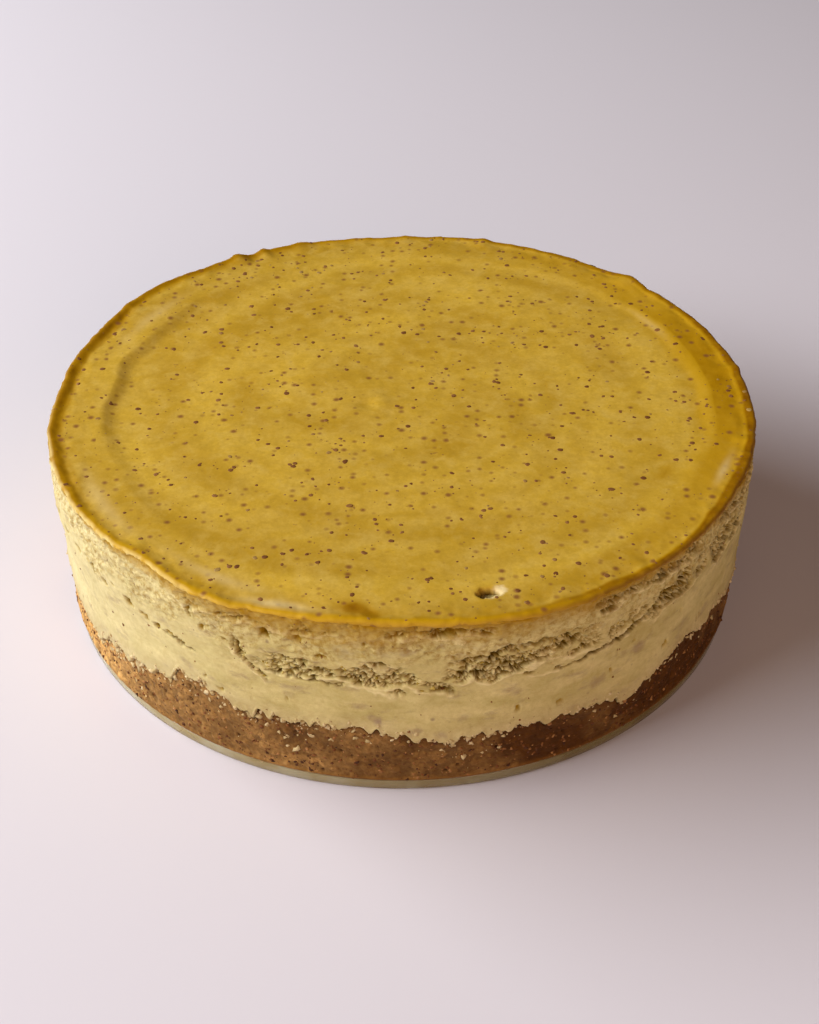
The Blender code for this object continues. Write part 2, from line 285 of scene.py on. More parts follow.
def lumps(points, size, octaves=3, flatten=1.0, shift=0.0):
    """Fractal noise from about -1 to 1, with lumps of that size in metres. flatten above 1
    makes them wider than they are tall."""
    scaled = points.reshape(-1, 3) * (1.0, 1.0, flatten) / size + shift
    found = [noise.fractal(p, 1.0, 2.0, octaves) for p in scaled.tolist()]
    return np.array(found).reshape(points.shape[:-1])


def curds(points, size, flatten=1.0, shift=0.0):
    """The cells round points strewn about that size apart: how far each place lies from its
    cell's middle, how far from its cell's edge, both as shares of the size, and a number from
    0 to 1 that is the cell's own."""
    scaled = points.reshape(-1, 3) * (1.0, 1.0, flatten) / size + shift
    found = []
    for place in scaled.tolist():
        far, middles = noise.voronoi(place)
        x, y, z = middles[0]
        found.append((far[0], far[1] - far[0], math.sin(x * 12.9 + y * 78.2 + z * 37.7)))
    cells = np.array(found).reshape(points.shape[:-1] + (3,))
    cells[..., 2] = np.modf(np.abs(cells[..., 2]) * 437.5)[0]
    return cells


def linear(code):
    """An sRGB hex colour as linear red, green, blue and 1."""
    shares = [int(code[i:i + 2], 16) / 255.0 for i in (1, 3, 5)]
    made = [s / 12.92 if s <= 0.04045 else ((s + 0.055) / 1.055) ** 2.4 for s in shares]
    return (*made, 1.0)


def add(tree, kind, inputs=None, **settings):
    """Adds a node. inputs maps a socket's name or number to a value or to another socket."""
    made = tree.nodes.new(kind)
    for key, value in settings.items():
        setattr(made, key, value)
    for key, value in (inputs or {}).items():
        if isinstance(value, bpy.types.NodeSocket):
            tree.links.new(value, made.inputs[key])
        else:
            made.inputs[key].default_value = value
    return made


def new_object(name, mesh):
    made = bpy.data.objects.new(name, mesh)
    bpy.context.scene.collection.objects.link(made)
    return made


def turned_piece(name, radius, height, azimuth, attributes):
    """A closed piece from rings of points, top to bottom down its outer side. radius and height
    are arrays of rings by columns. A point on the axis closes each end."""
    rings, columns = radius.shape
    points = cylindrical(radius, azimuth, height).reshape(-1, 3)
    ends = [[0.0, 0.0, height[0].mean()], [0.0, 0.0, height[-1].mean()]]
    points = np.vstack([points, ends])
    index = np.arange(rings * columns).reshape(rings, columns)
    after = np.roll(index, -1, axis=1)
    walls = np.stack([index[:-1], index[1:], after[1:], after[:-1]], axis=-1).reshape(-1, 4)
    top, bottom = rings * columns, rings * columns + 1
    caps = [(top, a, b) for a, b in zip(index[0], after[0])]
    caps += [(bottom, b, a) for a, b in zip(index[-1], after[-1])]
    mesh = bpy.data.meshes.new(name)
    mesh.from_pydata(points, [], walls.tolist() + caps)
    for key, values in attributes.items():
        field = mesh.attributes.new(key, "FLOAT", "POINT")
        padded = np.append(values.ravel(), [0.0, 0.0]).astype(np.float32)
        field.data.foreach_set("value", padded)
    mesh.shade_smooth()
    return new_object(name, mesh)


def hidden_rings(columns, rings):
    """Rings inside a piece that close it unseen, each (share of the tin's radius, height)."""
    radii = [np.full(columns, TIN_RADIUS * share) for share, _ in rings]
    heights = [np.full(columns, height) for _, height in rings]
    return radii, heights


def closed_wall(name, azimuth, radius, height, over, under, marks):
    """A closed piece from the rings of its wall, with hidden rings over and under them. The marks
    are the wall's, and are 0 on the hidden rings."""
    over_radius, over_height = hidden_rings(len(azimuth), over)
    under_radius, under_height = hidden_rings(len(azimuth), under)
    hidden = ((len(over), len(under)), (0, 0))
    marks = {key: np.pad(values.astype(float), hidden) for key, values in marks.items()}
    radius = np.vstack([over_radius, radius, under_radius])
    height = np.vstack([over_height, height, under_height])
    return turned_piece(name, radius, height, np.broadcast_to(azimuth, radius.shape), marks)


# ---------------------------------------------------------------- shape rules

def top_level(share, azimuth):
    """Height of the top: a ridge along the rim, a ring, a soft step and a shallow bowl."""
    rise = swell(azimuth, RIM_RISES) * smooth((share - 0.6) / (CREST_SHARE - 0.6))
    ridge = swell(azimuth, RIDGE_RISES) - RIDGE_MEAN
    ridge = RING_DROP + RIDGE_MEAN + ridge * smooth((share - 0.10) / 0.65)
    ring = ridge * smooth((CREST_SHARE - share) / (CREST_SHARE - RING_SHARE))
    step_share = STEP_SHARE + STEP_SHIFT * np.cos(np.radians(azimuth))
    uneven = (swell(azimuth, STEP_DROPS) - STEP_MEAN_DROP) * smooth((share - 0.10) / 0.65)
    step = (STEP_MEAN_DROP + uneven) * smooth((step_share - share) / STEP_WIDTH)
    bowl = BOWL_DEPTH * np.clip(1.0 - (share / STEP_SHARE) ** 2, 0.0, 1.0)
    return CAKE_HEIGHT + rise - ring - step - bowl


def crust_line(azimuth):
    """Mean height of the line where the filling meets the crust at the side."""
    return CRUST_LEVEL + swell(azimuth, CRUST_WAVES)


def ragged_line(azimuth):
    """That line as it shows, torn by crumbs and with tongues of custard run down over it."""
    ring = cylindrical(np.full_like(azimuth, TIN_RADIUS), azimuth, np.zeros_like(azimuth))
    ragged = 2.4 * MM * lumps(ring, 6.0 * MM, 3, shift=3.1)
    ragged += 1.9 * MM * lumps(ring, 2.6 * MM, 3, shift=7.7)
    return crust_line(azimuth) + ragged - swell(azimuth, CUSTARD_TONGUES)


def rim_lobes(azimuth, height):
    top_part = smooth(1.0 - (CAKE_HEIGHT - height) / TOP_FADES_OVER)
    low_part = smooth(1.0 - (height - CRUST_LEVEL) / CRUST_FADES_OVER)
    share = LOBES_BELOW_LIP + (1.0 - LOBES_BELOW_LIP) * top_part
    return swell(azimuth, RIM_LOBES) * share * (1.0 - low_part)


def side_swells(azimuth, height):
    """Slow swellings and hollows of the side, where the cake shrank unevenly from the tin."""
    total = np.zeros_like(height)
    for middle, half_width, middle_height, half_height, amount in SIDE_SWELLS:
        around = (turn_from(middle, azimuth) / half_width) ** 2
        up = ((height / MM - middle_height) / half_height) ** 2
        total = total + amount * MM * np.exp(-around - up)
    return total


def tears(points, azimuth, height):
    """How deep each point lies in a torn band, in metres, and how near it is to a band's lower
    lip, from 0 to 1."""
    azimuth = azimuth + 1.3 * lumps(points, 7.0 * MM, 3, shift=21.0)
    height = height + 2.2 * MM * lumps(points, 7.0 * MM, 4, 1.8, shift=5.0)
    deep = np.zeros_like(height)
    lip = np.zeros_like(height)
    foot = cylindrical(np.full_like(height, TIN_RADIUS), azimuth, np.zeros_like(height))
    gape = 1.0 + 0.55 * lumps(foot, 9.0 * MM, 2, shift=37.0)
    for start, end, start_height, end_height, widest, depth in TEARS:
        half_height = widest * gape
        half_turn = (end - start) / 2.0
        along = turn_from(start + half_turn, azimuth) / half_turn
        middle = start_height + (end_height - start_height) * (np.clip(along, -1, 1) + 1) / 2
        across = (height / MM - middle) / half_height
        reach = smooth((1.0 - np.abs(along)) / TEAR_END_SHARE)
        inside = smooth((1.0 - across) / 0.5) * smooth((1.0 + across) * half_height / 0.7)
        deep = np.maximum(deep, depth * MM * reach * inside)
        below = (across + 1.0) * half_height + 0.35
        lip = np.maximum(lip, reach * np.exp(-((below / 0.55) ** 2)))
    return deep, lip


def spots(azimuth, height, places, unit, sideways, up, edge, softness):
    """The strongest of the single spots on the side at each point. Each is (azimuth, height, half
    width, half height, strength), in mm and in that unit of strength. sideways and up bend its
    outline, and it fades over that softness within its edge, both as shares of its half width."""
    found = np.zeros_like(height)
    for middle, middle_height, half_width, half_height, amount in places:
        along = np.radians(turn_from(middle, azimuth)) * TIN_RADIUS / MM + sideways
        across = height / MM - middle_height + up
        far = np.hypot(along / half_width, across / half_height)
        found = np.maximum(found, amount * unit * smooth((edge - far) / softness))
    return found


def pits(points, azimuth, height):
    """How deep each point lies in one of the single pits, in metres."""
    sideways = 1.3 * lumps(points, 1.8 * MM, 3, shift=24.0)
    up = 1.2 * lumps(points, 1.8 * MM, 3, shift=27.0)
    return spots(azimuth, height, PITS, MM, sideways, up, edge=1.05, softness=0.35)


def cracks(points, azimuth, height):
    """How deep each point lies in one of the thin cracks, in metres."""
    sideways = 1.1 * lumps(points, 3.4 * MM, 3, shift=64.0)
    up = 1.3 * lumps(points, 2.8 * MM, 3, shift=67.0)
    deep = np.zeros_like(height)
    for start, start_height, end, end_height, half_width, depth in CRACKS:
        long = math.radians(end - start) * TIN_RADIUS / MM
        tall = end_height - start_height
        along = np.radians(turn_from(start, azimuth)) * TIN_RADIUS / MM + sideways
        above = height / MM - start_height + up
        share = np.clip((along * long + above * tall) / (long ** 2 + tall ** 2), 0.0, 1.0)
        far = np.hypot(along - share * long, above - share * tall)
        open_here = half_width * (0.35 + 0.65 * np.sin(math.pi * share))
        deep = np.maximum(deep, depth * MM * smooth((open_here + 0.35 - far) / 0.5))
    return deep


def mauve_patches(points, azimuth, height):
    """How much nut skin shows through at each point of the side, from 0 to 1."""
    sideways = 1.6 * lumps(points, 3.0 * MM, 3, shift=84.0)
    up = 1.6 * lumps(points, 3.0 * MM, 3, shift=97.0)
    return spots(azimuth, height, MAUVE_PATCHES, 1.0, sideways, up, edge=1.25, softness=0.8)


def crater_shape(x, y):
    """Depth of the crater left by a crumb at each point of the top, and how far that point is
    within its hollow, which the finish paints dark as painted shade, and on its pale broken lip,
    which is pale broken custard and a painted highlight, from 0 to 1."""
    turn = math.radians(CRATER_AZIMUTH)
    middle = Vector((math.cos(turn), math.sin(turn))) * TIN_RADIUS * CRATER_SHARE
    slant = math.radians(CRATER_SLANT)
    dx, dy = x - middle.x, y - middle.y
    wobble = 0.9 * lumps(np.stack([x, y, 0.0 * x], axis=-1), 2.2 * MM, 3, shift=61.0)
    along = (dx * math.cos(slant) + dy * math.sin(slant)) / CRATER_LONG
    across = (dy * math.cos(slant) - dx * math.sin(slant)) / CRATER_WIDE
    far = np.hypot(along, across) + 0.35 * wobble
    hollow_far = np.hypot(along * 1.20 + 0.25, across * 1.15 + 0.05) + 0.45 * wobble
    depth = CRATER_DEPTH * smooth((1.0 - hollow_far) / 0.40)
    depth = depth + 0.4 * MM * smooth((1.15 - far) / 0.5)
    hollow = smooth((0.98 - hollow_far) / 0.25)
    pale = smooth((1.30 - far) / 0.35) * (1.0 - hollow) * smooth((along - across + 0.5) / 0.6)
    return depth, hollow, pale


def stained(share, azimuth, stains):
    """The sum of single stains on the top, each (azimuth, share, half width, half share,
    strength)."""
    total = np.zeros_like(share)
    for middle, middle_share, half_width, half_share, amount in stains:
        around = (turn_from(middle, azimuth) / half_width) ** 2
        inwards = ((share - middle_share) / half_share) ** 2
        total = total + amount * np.exp(-around - inwards)
    return total


def browning(share, azimuth, step_share):
    """How brown the oven left the skin: most on the right of the rim."""
    right = bell(azimuth, 8.0, 40.0)
    back = bell(azimuth, 92.0, 48.0, 4)
    left = bell(azimuth, 172.0, 44.0, 4)
    front = bell(azimuth, 318.0, 32.0)
    wide = smooth((share - step_share + 0.01) / 0.02) * (1.0 - 0.45 * smooth((share - 0.95) / 0.03))
    narrow = smooth((share - 0.950) / 0.012)
    at_edge = smooth((share - 0.965) / 0.02)
    brown = 0.85 * right * wide + 0.65 * left * narrow + 0.55 * back * at_edge
    brown = brown + (0.42 + 0.85 * front + 0.55 * right) * at_edge
    return np.clip(brown + stained(share, azimuth, BROWN_STAINS), 0.0, 1.4)


# ---------------------------------------------------------------- pieces

def make_custard_body():
    """The pale side of the filling, torn in bands, down to its ragged foot on the crust."""
    azimuth = columns_round(CUSTARD_COLUMNS)
    wall_top = CAKE_HEIGHT - 0.7 * MM
    foot_top = CRUST_LEVEL + FOOT_ROWS_TALL
    rows = np.concatenate([
        np.linspace(wall_top, TORN_TO, 22, endpoint=False),
        np.linspace(TORN_TO, TORN_FROM, 50, endpoint=False),
        np.linspace(TORN_FROM, foot_top, 14, endpoint=False),
        np.linspace(foot_top, CRUST_LEVEL, 5),
    ])
    az = np.broadcast_to(azimuth, (len(rows), CUSTARD_COLUMNS)).copy()
    level = np.broadcast_to(rows[:, None], az.shape).copy()
    low_part = smooth(1.0 - (level - CRUST_LEVEL) / CRUST_FADES_OVER)
    top_part = smooth(1.0 - (CAKE_HEIGHT - level) / TOP_FADES_OVER)
    height = level + low_part * (ragged_line(azimuth) - CRUST_LEVEL)
    height = height + top_part * swell(azimuth, RIM_RISES)
    skin = cylindrical(np.full_like(az, TIN_RADIUS), az, height)

    deep, lip = tears(skin, az, height)
    bent_az = az + 0.6 * lumps(skin, 3.4 * MM, 2, shift=71.0)
    bent_height = height + 1.5 * MM * lumps(skin, 4.2 * MM, 3, shift=74.0)
    bent = cylindrical(np.full_like(az, TIN_RADIUS), bent_az, bent_height)
    layers = lumps(bent, 7.5 * MM, 4, 2.5, shift=1.0)
    shreds = lumps(bent, 3.7 * MM, 3, 2.0, shift=9.0)
    from_split = np.abs(layers + 0.25 * shreds)
    from_fine_split = np.abs(shreds - 0.08)
    split = smooth((0.10 - from_split) / 0.07)
    fine_split = smooth((0.09 - from_fine_split) / 0.07)
    ledge = np.modf(40.0 + 2.4 * layers + 0.5 * shreds - bent_height / LAYER_THICKNESS)[0]
    ledge = smooth(ledge / 0.85) * smooth((1.0 - ledge) / 0.15)
    patchy = smooth((lumps(skin, 7.0 * MM, 3, 1.8, shift=77.0) + 0.45) / 0.30)
    crag = 0.10 + 0.60 * ledge + 0.85 * split + 0.20 * fine_split + 0.22 * shreds
    sunk = 1.2 * deep * patchy * np.clip(crag, 0.0, 1.45)
    pitted = pits(skin, az, height)
    cracked = cracks(skin, az, height)
    sunk = np.maximum(sunk, np.maximum(pitted, cracked))

    pores = curds(skin, 7.0 * MM, shift=31.0)
    open_pore = pores[..., 2] > 0.35
    sunk += 0.8 * MM * smooth((0.12 - pores[..., 0]) / 0.08) * open_pore
    # Towards the lip the side is crumbly, and lower down the tin smeared it smooth
    crumbly = smooth((height - 47.0 * MM) / (9.0 * MM) + 0.9 * lumps(skin, 11.0 * MM, 2, shift=87.0))
    wrinkle = np.abs(lumps(bent, 4.6 * MM, 4, 1.8, shift=91.0))
    wrinkled = smooth((lumps(skin, 9.0 * MM, 2, shift=94.0) + 0.15) / 0.3)
    sunk += 0.55 * MM * crumbly * wrinkled * smooth((0.09 - wrinkle) / 0.07)
    slow = 0.45 * MM * lumps(skin, 24.0 * MM, 2, 1.5, shift=2.0)
    fine = (0.12 + 0.45 * crumbly) * MM * lumps(skin, 2.6 * MM, 4, 1.5, shift=4.0)
    undercut = LIP_STAND * smooth((height - 58.0 * MM) / (5.0 * MM))
    tuck = 1.0 * MM * smooth((1.1 * MM - (level - CRUST_LEVEL)) / (1.1 * MM)) ** 2
    foot_edge = np.exp(-(((level - CRUST_LEVEL - 1.4 * MM) / (1.0 * MM)) ** 2))
    radius = (
        TIN_RADIUS - 0.1 * MM + rim_lobes(az, height) + side_swells(az, height) - undercut
        - sunk + slow + fine + 0.30 * MM * lip + 0.25 * MM * foot_edge - tuck
    )

    # How far butter ran down from the lip: most at the front, and least at the left
    spread = 4.0 * MM + 5.0 * MM * bell(az, 264.0, 28.0)
    spread = spread + 2.4 * MM * lumps(skin, 8.0 * MM, 3, shift=81.0)
    spread = spread * (1.0 - 0.6 * bell(az, 198.0, 36.0, 4))
    below_lip = CAKE_HEIGHT + swell(az, RIM_RISES) - LIP_HEIGHT - height
    stain = np.clip(1.0 - below_lip / np.maximum(spread, 1.2 * MM), 0.0, 1.0) ** 0.7
    seam_share = np.exp(-(((level - CRUST_LEVEL - 0.5 * MM) / (1.6 * MM)) ** 2))
    band = np.clip(deep * patchy / (0.9 * MM), 0.0, 1.0)
    torn_deep = np.clip(deep * patchy / FULLY_DEEP, 0.0, 1.0)
    # Painted shade: how dark the splits and the shaded undersides of the ledges in the torn bands are
    # painted
    shaded = smooth((0.15 - from_split) / 0.09)
    shaded = np.maximum(shaded, 0.50 * smooth((0.13 - from_fine_split) / 0.08))
    shaded = np.maximum(shaded, 0.8 * smooth((ledge - 0.75) / 0.2))

    drops = ((0.25, 5.2), (0.60, 4.6), (0.90, 2.4), (0.96, 1.5))
    lifts = ((0.95, 0.6), (0.60, 0.3), (0.25, 0.3))
    over = [(share, CAKE_HEIGHT - drop * MM) for share, drop in drops]
    under = [(share, CRUST_LEVEL + lift * MM) for share, lift in lifts]
    return closed_wall("torn_custard", azimuth, radius, height, over, under, {
        # The finish paints deep places olive, the moist custard's own colour, and darker as painted
        # shade
        "sunk": np.clip(sunk / FULLY_DEEP, 0.0, 1.0),
        "split": np.clip(torn_deep * shaded + cracked / (1.2 * MM), 0.0, 1.0),
        "pitted": np.clip(pitted / (0.9 * MM), 0.0, 1.0),
        # flake and lip are painted paler in the finish: painted highlights on thin layer edges and on
        # the lips under the bands
        "flake": band * smooth((0.30 - ledge) / 0.25) * (1.0 - split),
        "mauve": mauve_patches(skin, az, height),
        "lip": lip * (1.0 - band),
        "crumbly": crumbly,
        "stain": stain,
        "foot": smooth(1.0 - (height - crust_line(az)) / (9.0 * MM)),
        "crumbs": band * smooth((level - 36.0 * MM) / (3.0 * MM)) * (level < 63.0 * MM),
        "bits": seam_share,
        "specks": smooth((level - CRUST_LEVEL - 1.0 * MM) / (1.0 * MM)) * (level < 63.5 * MM),
    })


def make_baked_skin():
    """The browned skin of the top, with its rim and the lip that rounds over the side."""
    columns = SKIN_COLUMNS
    azimuth = columns_round(columns)
    shares = np.concatenate([
        np.linspace(0.012, 0.84, 62, endpoint=False),
        np.linspace(0.84, CREST_SHARE, 32),
    ])
    az = np.broadcast_to(azimuth, (len(shares), columns)).copy()
    share = np.broadcast_to(shares[:, None], az.shape).copy()
    flat = cylindrical(TIN_RADIUS * share, az, np.zeros_like(az))
    x, y = flat[..., 0], flat[..., 1]
    warp = 0.020 * lumps(flat, 32.0 * MM, 3, shift=6.0)
    height = top_level(share + warp * smooth((0.97 - share) / 0.1), az)
    height += 0.40 * MM * lumps(flat, 34.0 * MM, 2, shift=8.0) * smooth((1.0 - share) / 0.1)
    height += 0.09 * MM * lumps(flat, 6.0 * MM, 3, shift=12.0)
    far = np.hypot(x - DIMPLE_X, y - DIMPLE_Y)
    round_dimple = np.arctan2(y - DIMPLE_Y, x - DIMPLE_X)
    height -= DIMPLE_DEPTH * np.exp(-((far / DIMPLE_HALF_WIDTH) ** 2))
    fold = np.exp(2.5 * (np.cos(round_dimple - 0.5) - 1.0) - ((far - 5.5 * MM) / (2.6 * MM)) ** 2)
    height += FOLD_RISE * fold
    spiral = np.cos(math.tau * far / (15.0 * MM) + round_dimple)
    height += 0.04 * MM * spiral * np.exp(-((far / (34.0 * MM)) ** 2))
    height += 0.012 * MM * np.cos(math.tau * TIN_RADIUS * (share + warp) / (12.0 * MM))
    nodules = swell(az, RIM_NODULES) * smooth((share - 0.93) / 0.04)
    at_rim = smooth((share - 0.90) / 0.07)
    height += nodules + at_rim * 0.35 * MM * lumps(flat, 6.0 * MM, 3, shift=16.0)
    top_lobes = rim_lobes(az, np.full_like(az, CAKE_HEIGHT))
    rim_wobble = 0.45 * MM * lumps(flat, 9.0 * MM, 3, shift=15.0)
    radius = TIN_RADIUS * share + at_rim * (top_lobes + rim_wobble) + 0.5 * nodules
    moved = cylindrical(radius, az, np.zeros_like(az))
    crater, hollow, pale = crater_shape(moved[..., 0], moved[..., 1])
    height -= crater

    rim = cylindrical(np.full(columns, TIN_RADIUS), azimuth, np.zeros(columns))
    crest, crest_radius = height[-1], radius[-1]
    torn = 0.35 + bell(azimuth, 222.0, 22.0)
    hang = LIP_HEIGHT + 1.0 * MM * lumps(rim, 11.0 * MM, 3, shift=18.0)
    hang = hang + 1.0 * MM * torn * lumps(rim, 2.4 * MM, 3, shift=19.0)
    hang = np.maximum(hang, RIM_ROUNDING + 0.15 * MM)
    edge_radius = crest_radius + (1.0 - CREST_SHARE) * TIN_RADIUS
    edge_radius = edge_radius + 0.28 * MM * torn * lumps(rim, 1.8 * MM, 3, shift=29.0)
    edge_radius = edge_radius + 0.20 * MM * lumps(rim, 4.5 * MM, 2, shift=59.0)
    lip_rings, lip_heights = [], []
    for turn in np.linspace(0.0, 90.0, 7)[1:]:
        out = math.sin(math.radians(turn))
        down = 1.0 - math.cos(math.radians(turn))
        lip_rings.append(crest_radius + (edge_radius - crest_radius) * out)
        lip_heights.append(crest - RIM_ROUNDING * down)
    for step in np.linspace(0.0, 1.0, 4)[1:]:
        lip_rings.append(edge_radius - LIP_STAND * step * step)
        lip_heights.append(crest - RIM_ROUNDING - (hang - RIM_ROUNDING) * step)
    lip_rings.append(edge_radius - 0.45 * MM)
    lip_heights.append(lip_heights[-1] - 0.10 * MM)
    lip_rings.append(edge_radius - 1.6 * MM)
    lip_heights.append(lip_heights[-1] + 0.5 * MM)
    drops = ((0.95, 3.0), (0.90, 5.0), (0.60, 7.2), (0.25, 7.6))
    under_rings, under_heights = hidden_rings(columns, [
        (inner_share, CAKE_HEIGHT - drop * MM) for inner_share, drop in drops
    ])
    count = len(lip_rings) + len(under_rings)
    step_share = STEP_SHARE + STEP_SHIFT * np.cos(np.radians(az))
    browned = browning(share + 0.5 * warp, az, step_share)
    golden = 0.85 * smooth((share + warp - step_share + 0.08) / 0.08)
    golden = golden * bell(az, 8.0, 42.0)
    thick_rim = 0.014 * bell(az, 168.0, 48.0, 4)
    golden = np.maximum(golden, smooth((share - 0.975 + thick_rim) / 0.014))
    stroke = np.radians(az) + 2.2 * share + 1.5 * warp
    swept = cylindrical(1.6, np.degrees(stroke), TIN_RADIUS * share / STROKE_SPACING)
    strokes = lumps(swept, 1.0, 3, shift=33.0)
    clusters = lumps(flat, 16.0 * MM, 2, shift=35.0) + 0.4 * smooth((share - 0.85) / 0.1)
    below = np.zeros((count, columns))
    over = np.vstack([np.zeros_like(share), *[below[:1] + t for t in np.linspace(0.15, 1, 6)],
                      below[6:] + 1.0])
    left = bell(azimuth, 212.0, 27.0, 4)
    broken = smooth((lumps(rim, 5.0 * MM, 3, shift=39.0) + 0.5) / 0.5)
    marks = {
        "cream": over * (0.08 + 0.70 * left * broken),
        "edge": np.vstack([golden, below + 1.0]),
        "browned": np.vstack([browned, below + browned[-1]]),
        "strokes": np.vstack([strokes * smooth(share / 0.3), below]),
        # hollow is painted shade in the crater; pale is the crater's broken lip with a painted
        # highlight, pale patches, and a painted sheen highlight at the front of the rim
        "hollow": np.vstack([hollow, below]),
        "pale": np.vstack([np.maximum(pale, stained(share + 0.5 * warp, az, PALE_PATCHES_AND_SHEEN)), below]),
        "specks": np.vstack([(1.0 - hollow) * smooth((clusters + 0.55) / 0.9), below]),
    }
    radius = np.vstack([radius, lip_rings, under_rings])
    height = np.vstack([height, lip_heights, under_heights])
    azimuths = np.broadcast_to(azimuth, radius.shape)
    return turned_piece("baked_skin", radius, height, azimuths, marks)


def make_biscuit_crumb():
    """The pressed crumb crust, whose top is hidden behind the foot of the custard."""
    azimuth = np.linspace(0.0, 360.0, CRUMB_COLUMNS, endpoint=False)
    rows = np.linspace(0.0, 1.0, 52)
    az = np.broadcast_to(azimuth, (len(rows), CRUMB_COLUMNS)).copy()
    down = np.broadcast_to(rows[:, None], az.shape).copy()
    seam_line = ragged_line(azimuth)
    line = seam_line + 1.2 * MM
    height = line + down * (CRUST_FOOT - line)
    wall = cylindrical(np.full_like(az, CRUST_RADIUS), az, height)
    grain = curds(wall, 2.1 * MM, shift=40.0)
    fine = curds(wall, 1.1 * MM, shift=44.0)
    holes = curds(wall, 3.4 * MM, shift=47.0)
    hole = smooth((0.22 - holes[..., 0]) / 0.14) * (holes[..., 2] > 0.55)
    relief = 0.42 * MM * (0.45 - grain[..., 0]) + 0.25 * MM * (0.45 - fine[..., 0])
    relief += 0.35 * MM * (grain[..., 2] - 0.5) * smooth(grain[..., 1] / 0.2)
    relief += 0.45 * MM * lumps(wall, 8.0 * MM, 3, shift=50.0)
    relief -= 0.9 * MM * hole
    seam = smooth(1.0 - (height - CRUST_FOOT) / (1.8 * MM))
    tucked = 1.1 * MM * smooth((height - seam_line + 0.7 * MM) / (0.9 * MM))
    radius = CRUST_RADIUS - 0.35 * MM + relief * (1.0 - 0.8 * seam) - tucked + 0.25 * MM * seam
    radius -= 0.25 * MM * smooth(1.0 - (height - CRUST_FOOT) / (0.4 * MM))
    smeared = 0.25 + sum(
        amount * bell(az, middle, half_width) for middle, half_width, amount in SMEARS
    )
    below_line = np.clip((seam_line - height) / MM, 0.0, None)
    # Painted shade: the crust is darkened in the gap just under the custard's foot
    gap_here = smooth((lumps(wall, 5.0 * MM, 3, shift=57.0) + 0.25) / 0.3)
    painted_gap_shade = gap_here * np.exp(-((below_line / 0.9) ** 2)) * (below_line > 0)
    over = [(share, CRUST_LEVEL) for share in (0.25, 0.60, 0.95)]
    under = [(share, CRUST_FOOT) for share in (0.95, 0.5)]
    # Painted light and shade: paler on the side towards the window and browner on the side away from it,
    # with random patches of toasting from the noise
    toasted = smooth(0.5 + 0.5 * np.cos(np.radians(az + 30.0)))
    toasted = toasted + 0.35 * lumps(wall, 22.0 * MM, 3, shift=53.0)
    return closed_wall("biscuit_crumb", azimuth, radius, height, over, under, {
        "hole": np.maximum(hole, 0.85 * painted_gap_shade),
        "oily": seam,
        "grain": grain[..., 2],
        "toasted": np.clip(toasted, 0.0, 1.0),
        "grains": (height < seam_line - 0.2 * MM) * smooth((height - CRUST_FOOT) / (1.0 * MM)),
        "bits": smeared * np.exp(-below_line / 2.6) * (below_line > 0.05),
    })


# ---------------------------------------------------------------- trees that repeat and turn

def add_inputs(tree, wanted):
    """Gives a geometry tree its named inputs, and returns its input node."""
    for name, kind in wanted:
        tree.interface.new_socket(name, in_out="INPUT", socket_type=kind)
    tree.interface.new_socket("Made", in_out="OUTPUT", socket_type="NodeSocketGeometry")
    return add(tree, "NodeGroupInput").outputs


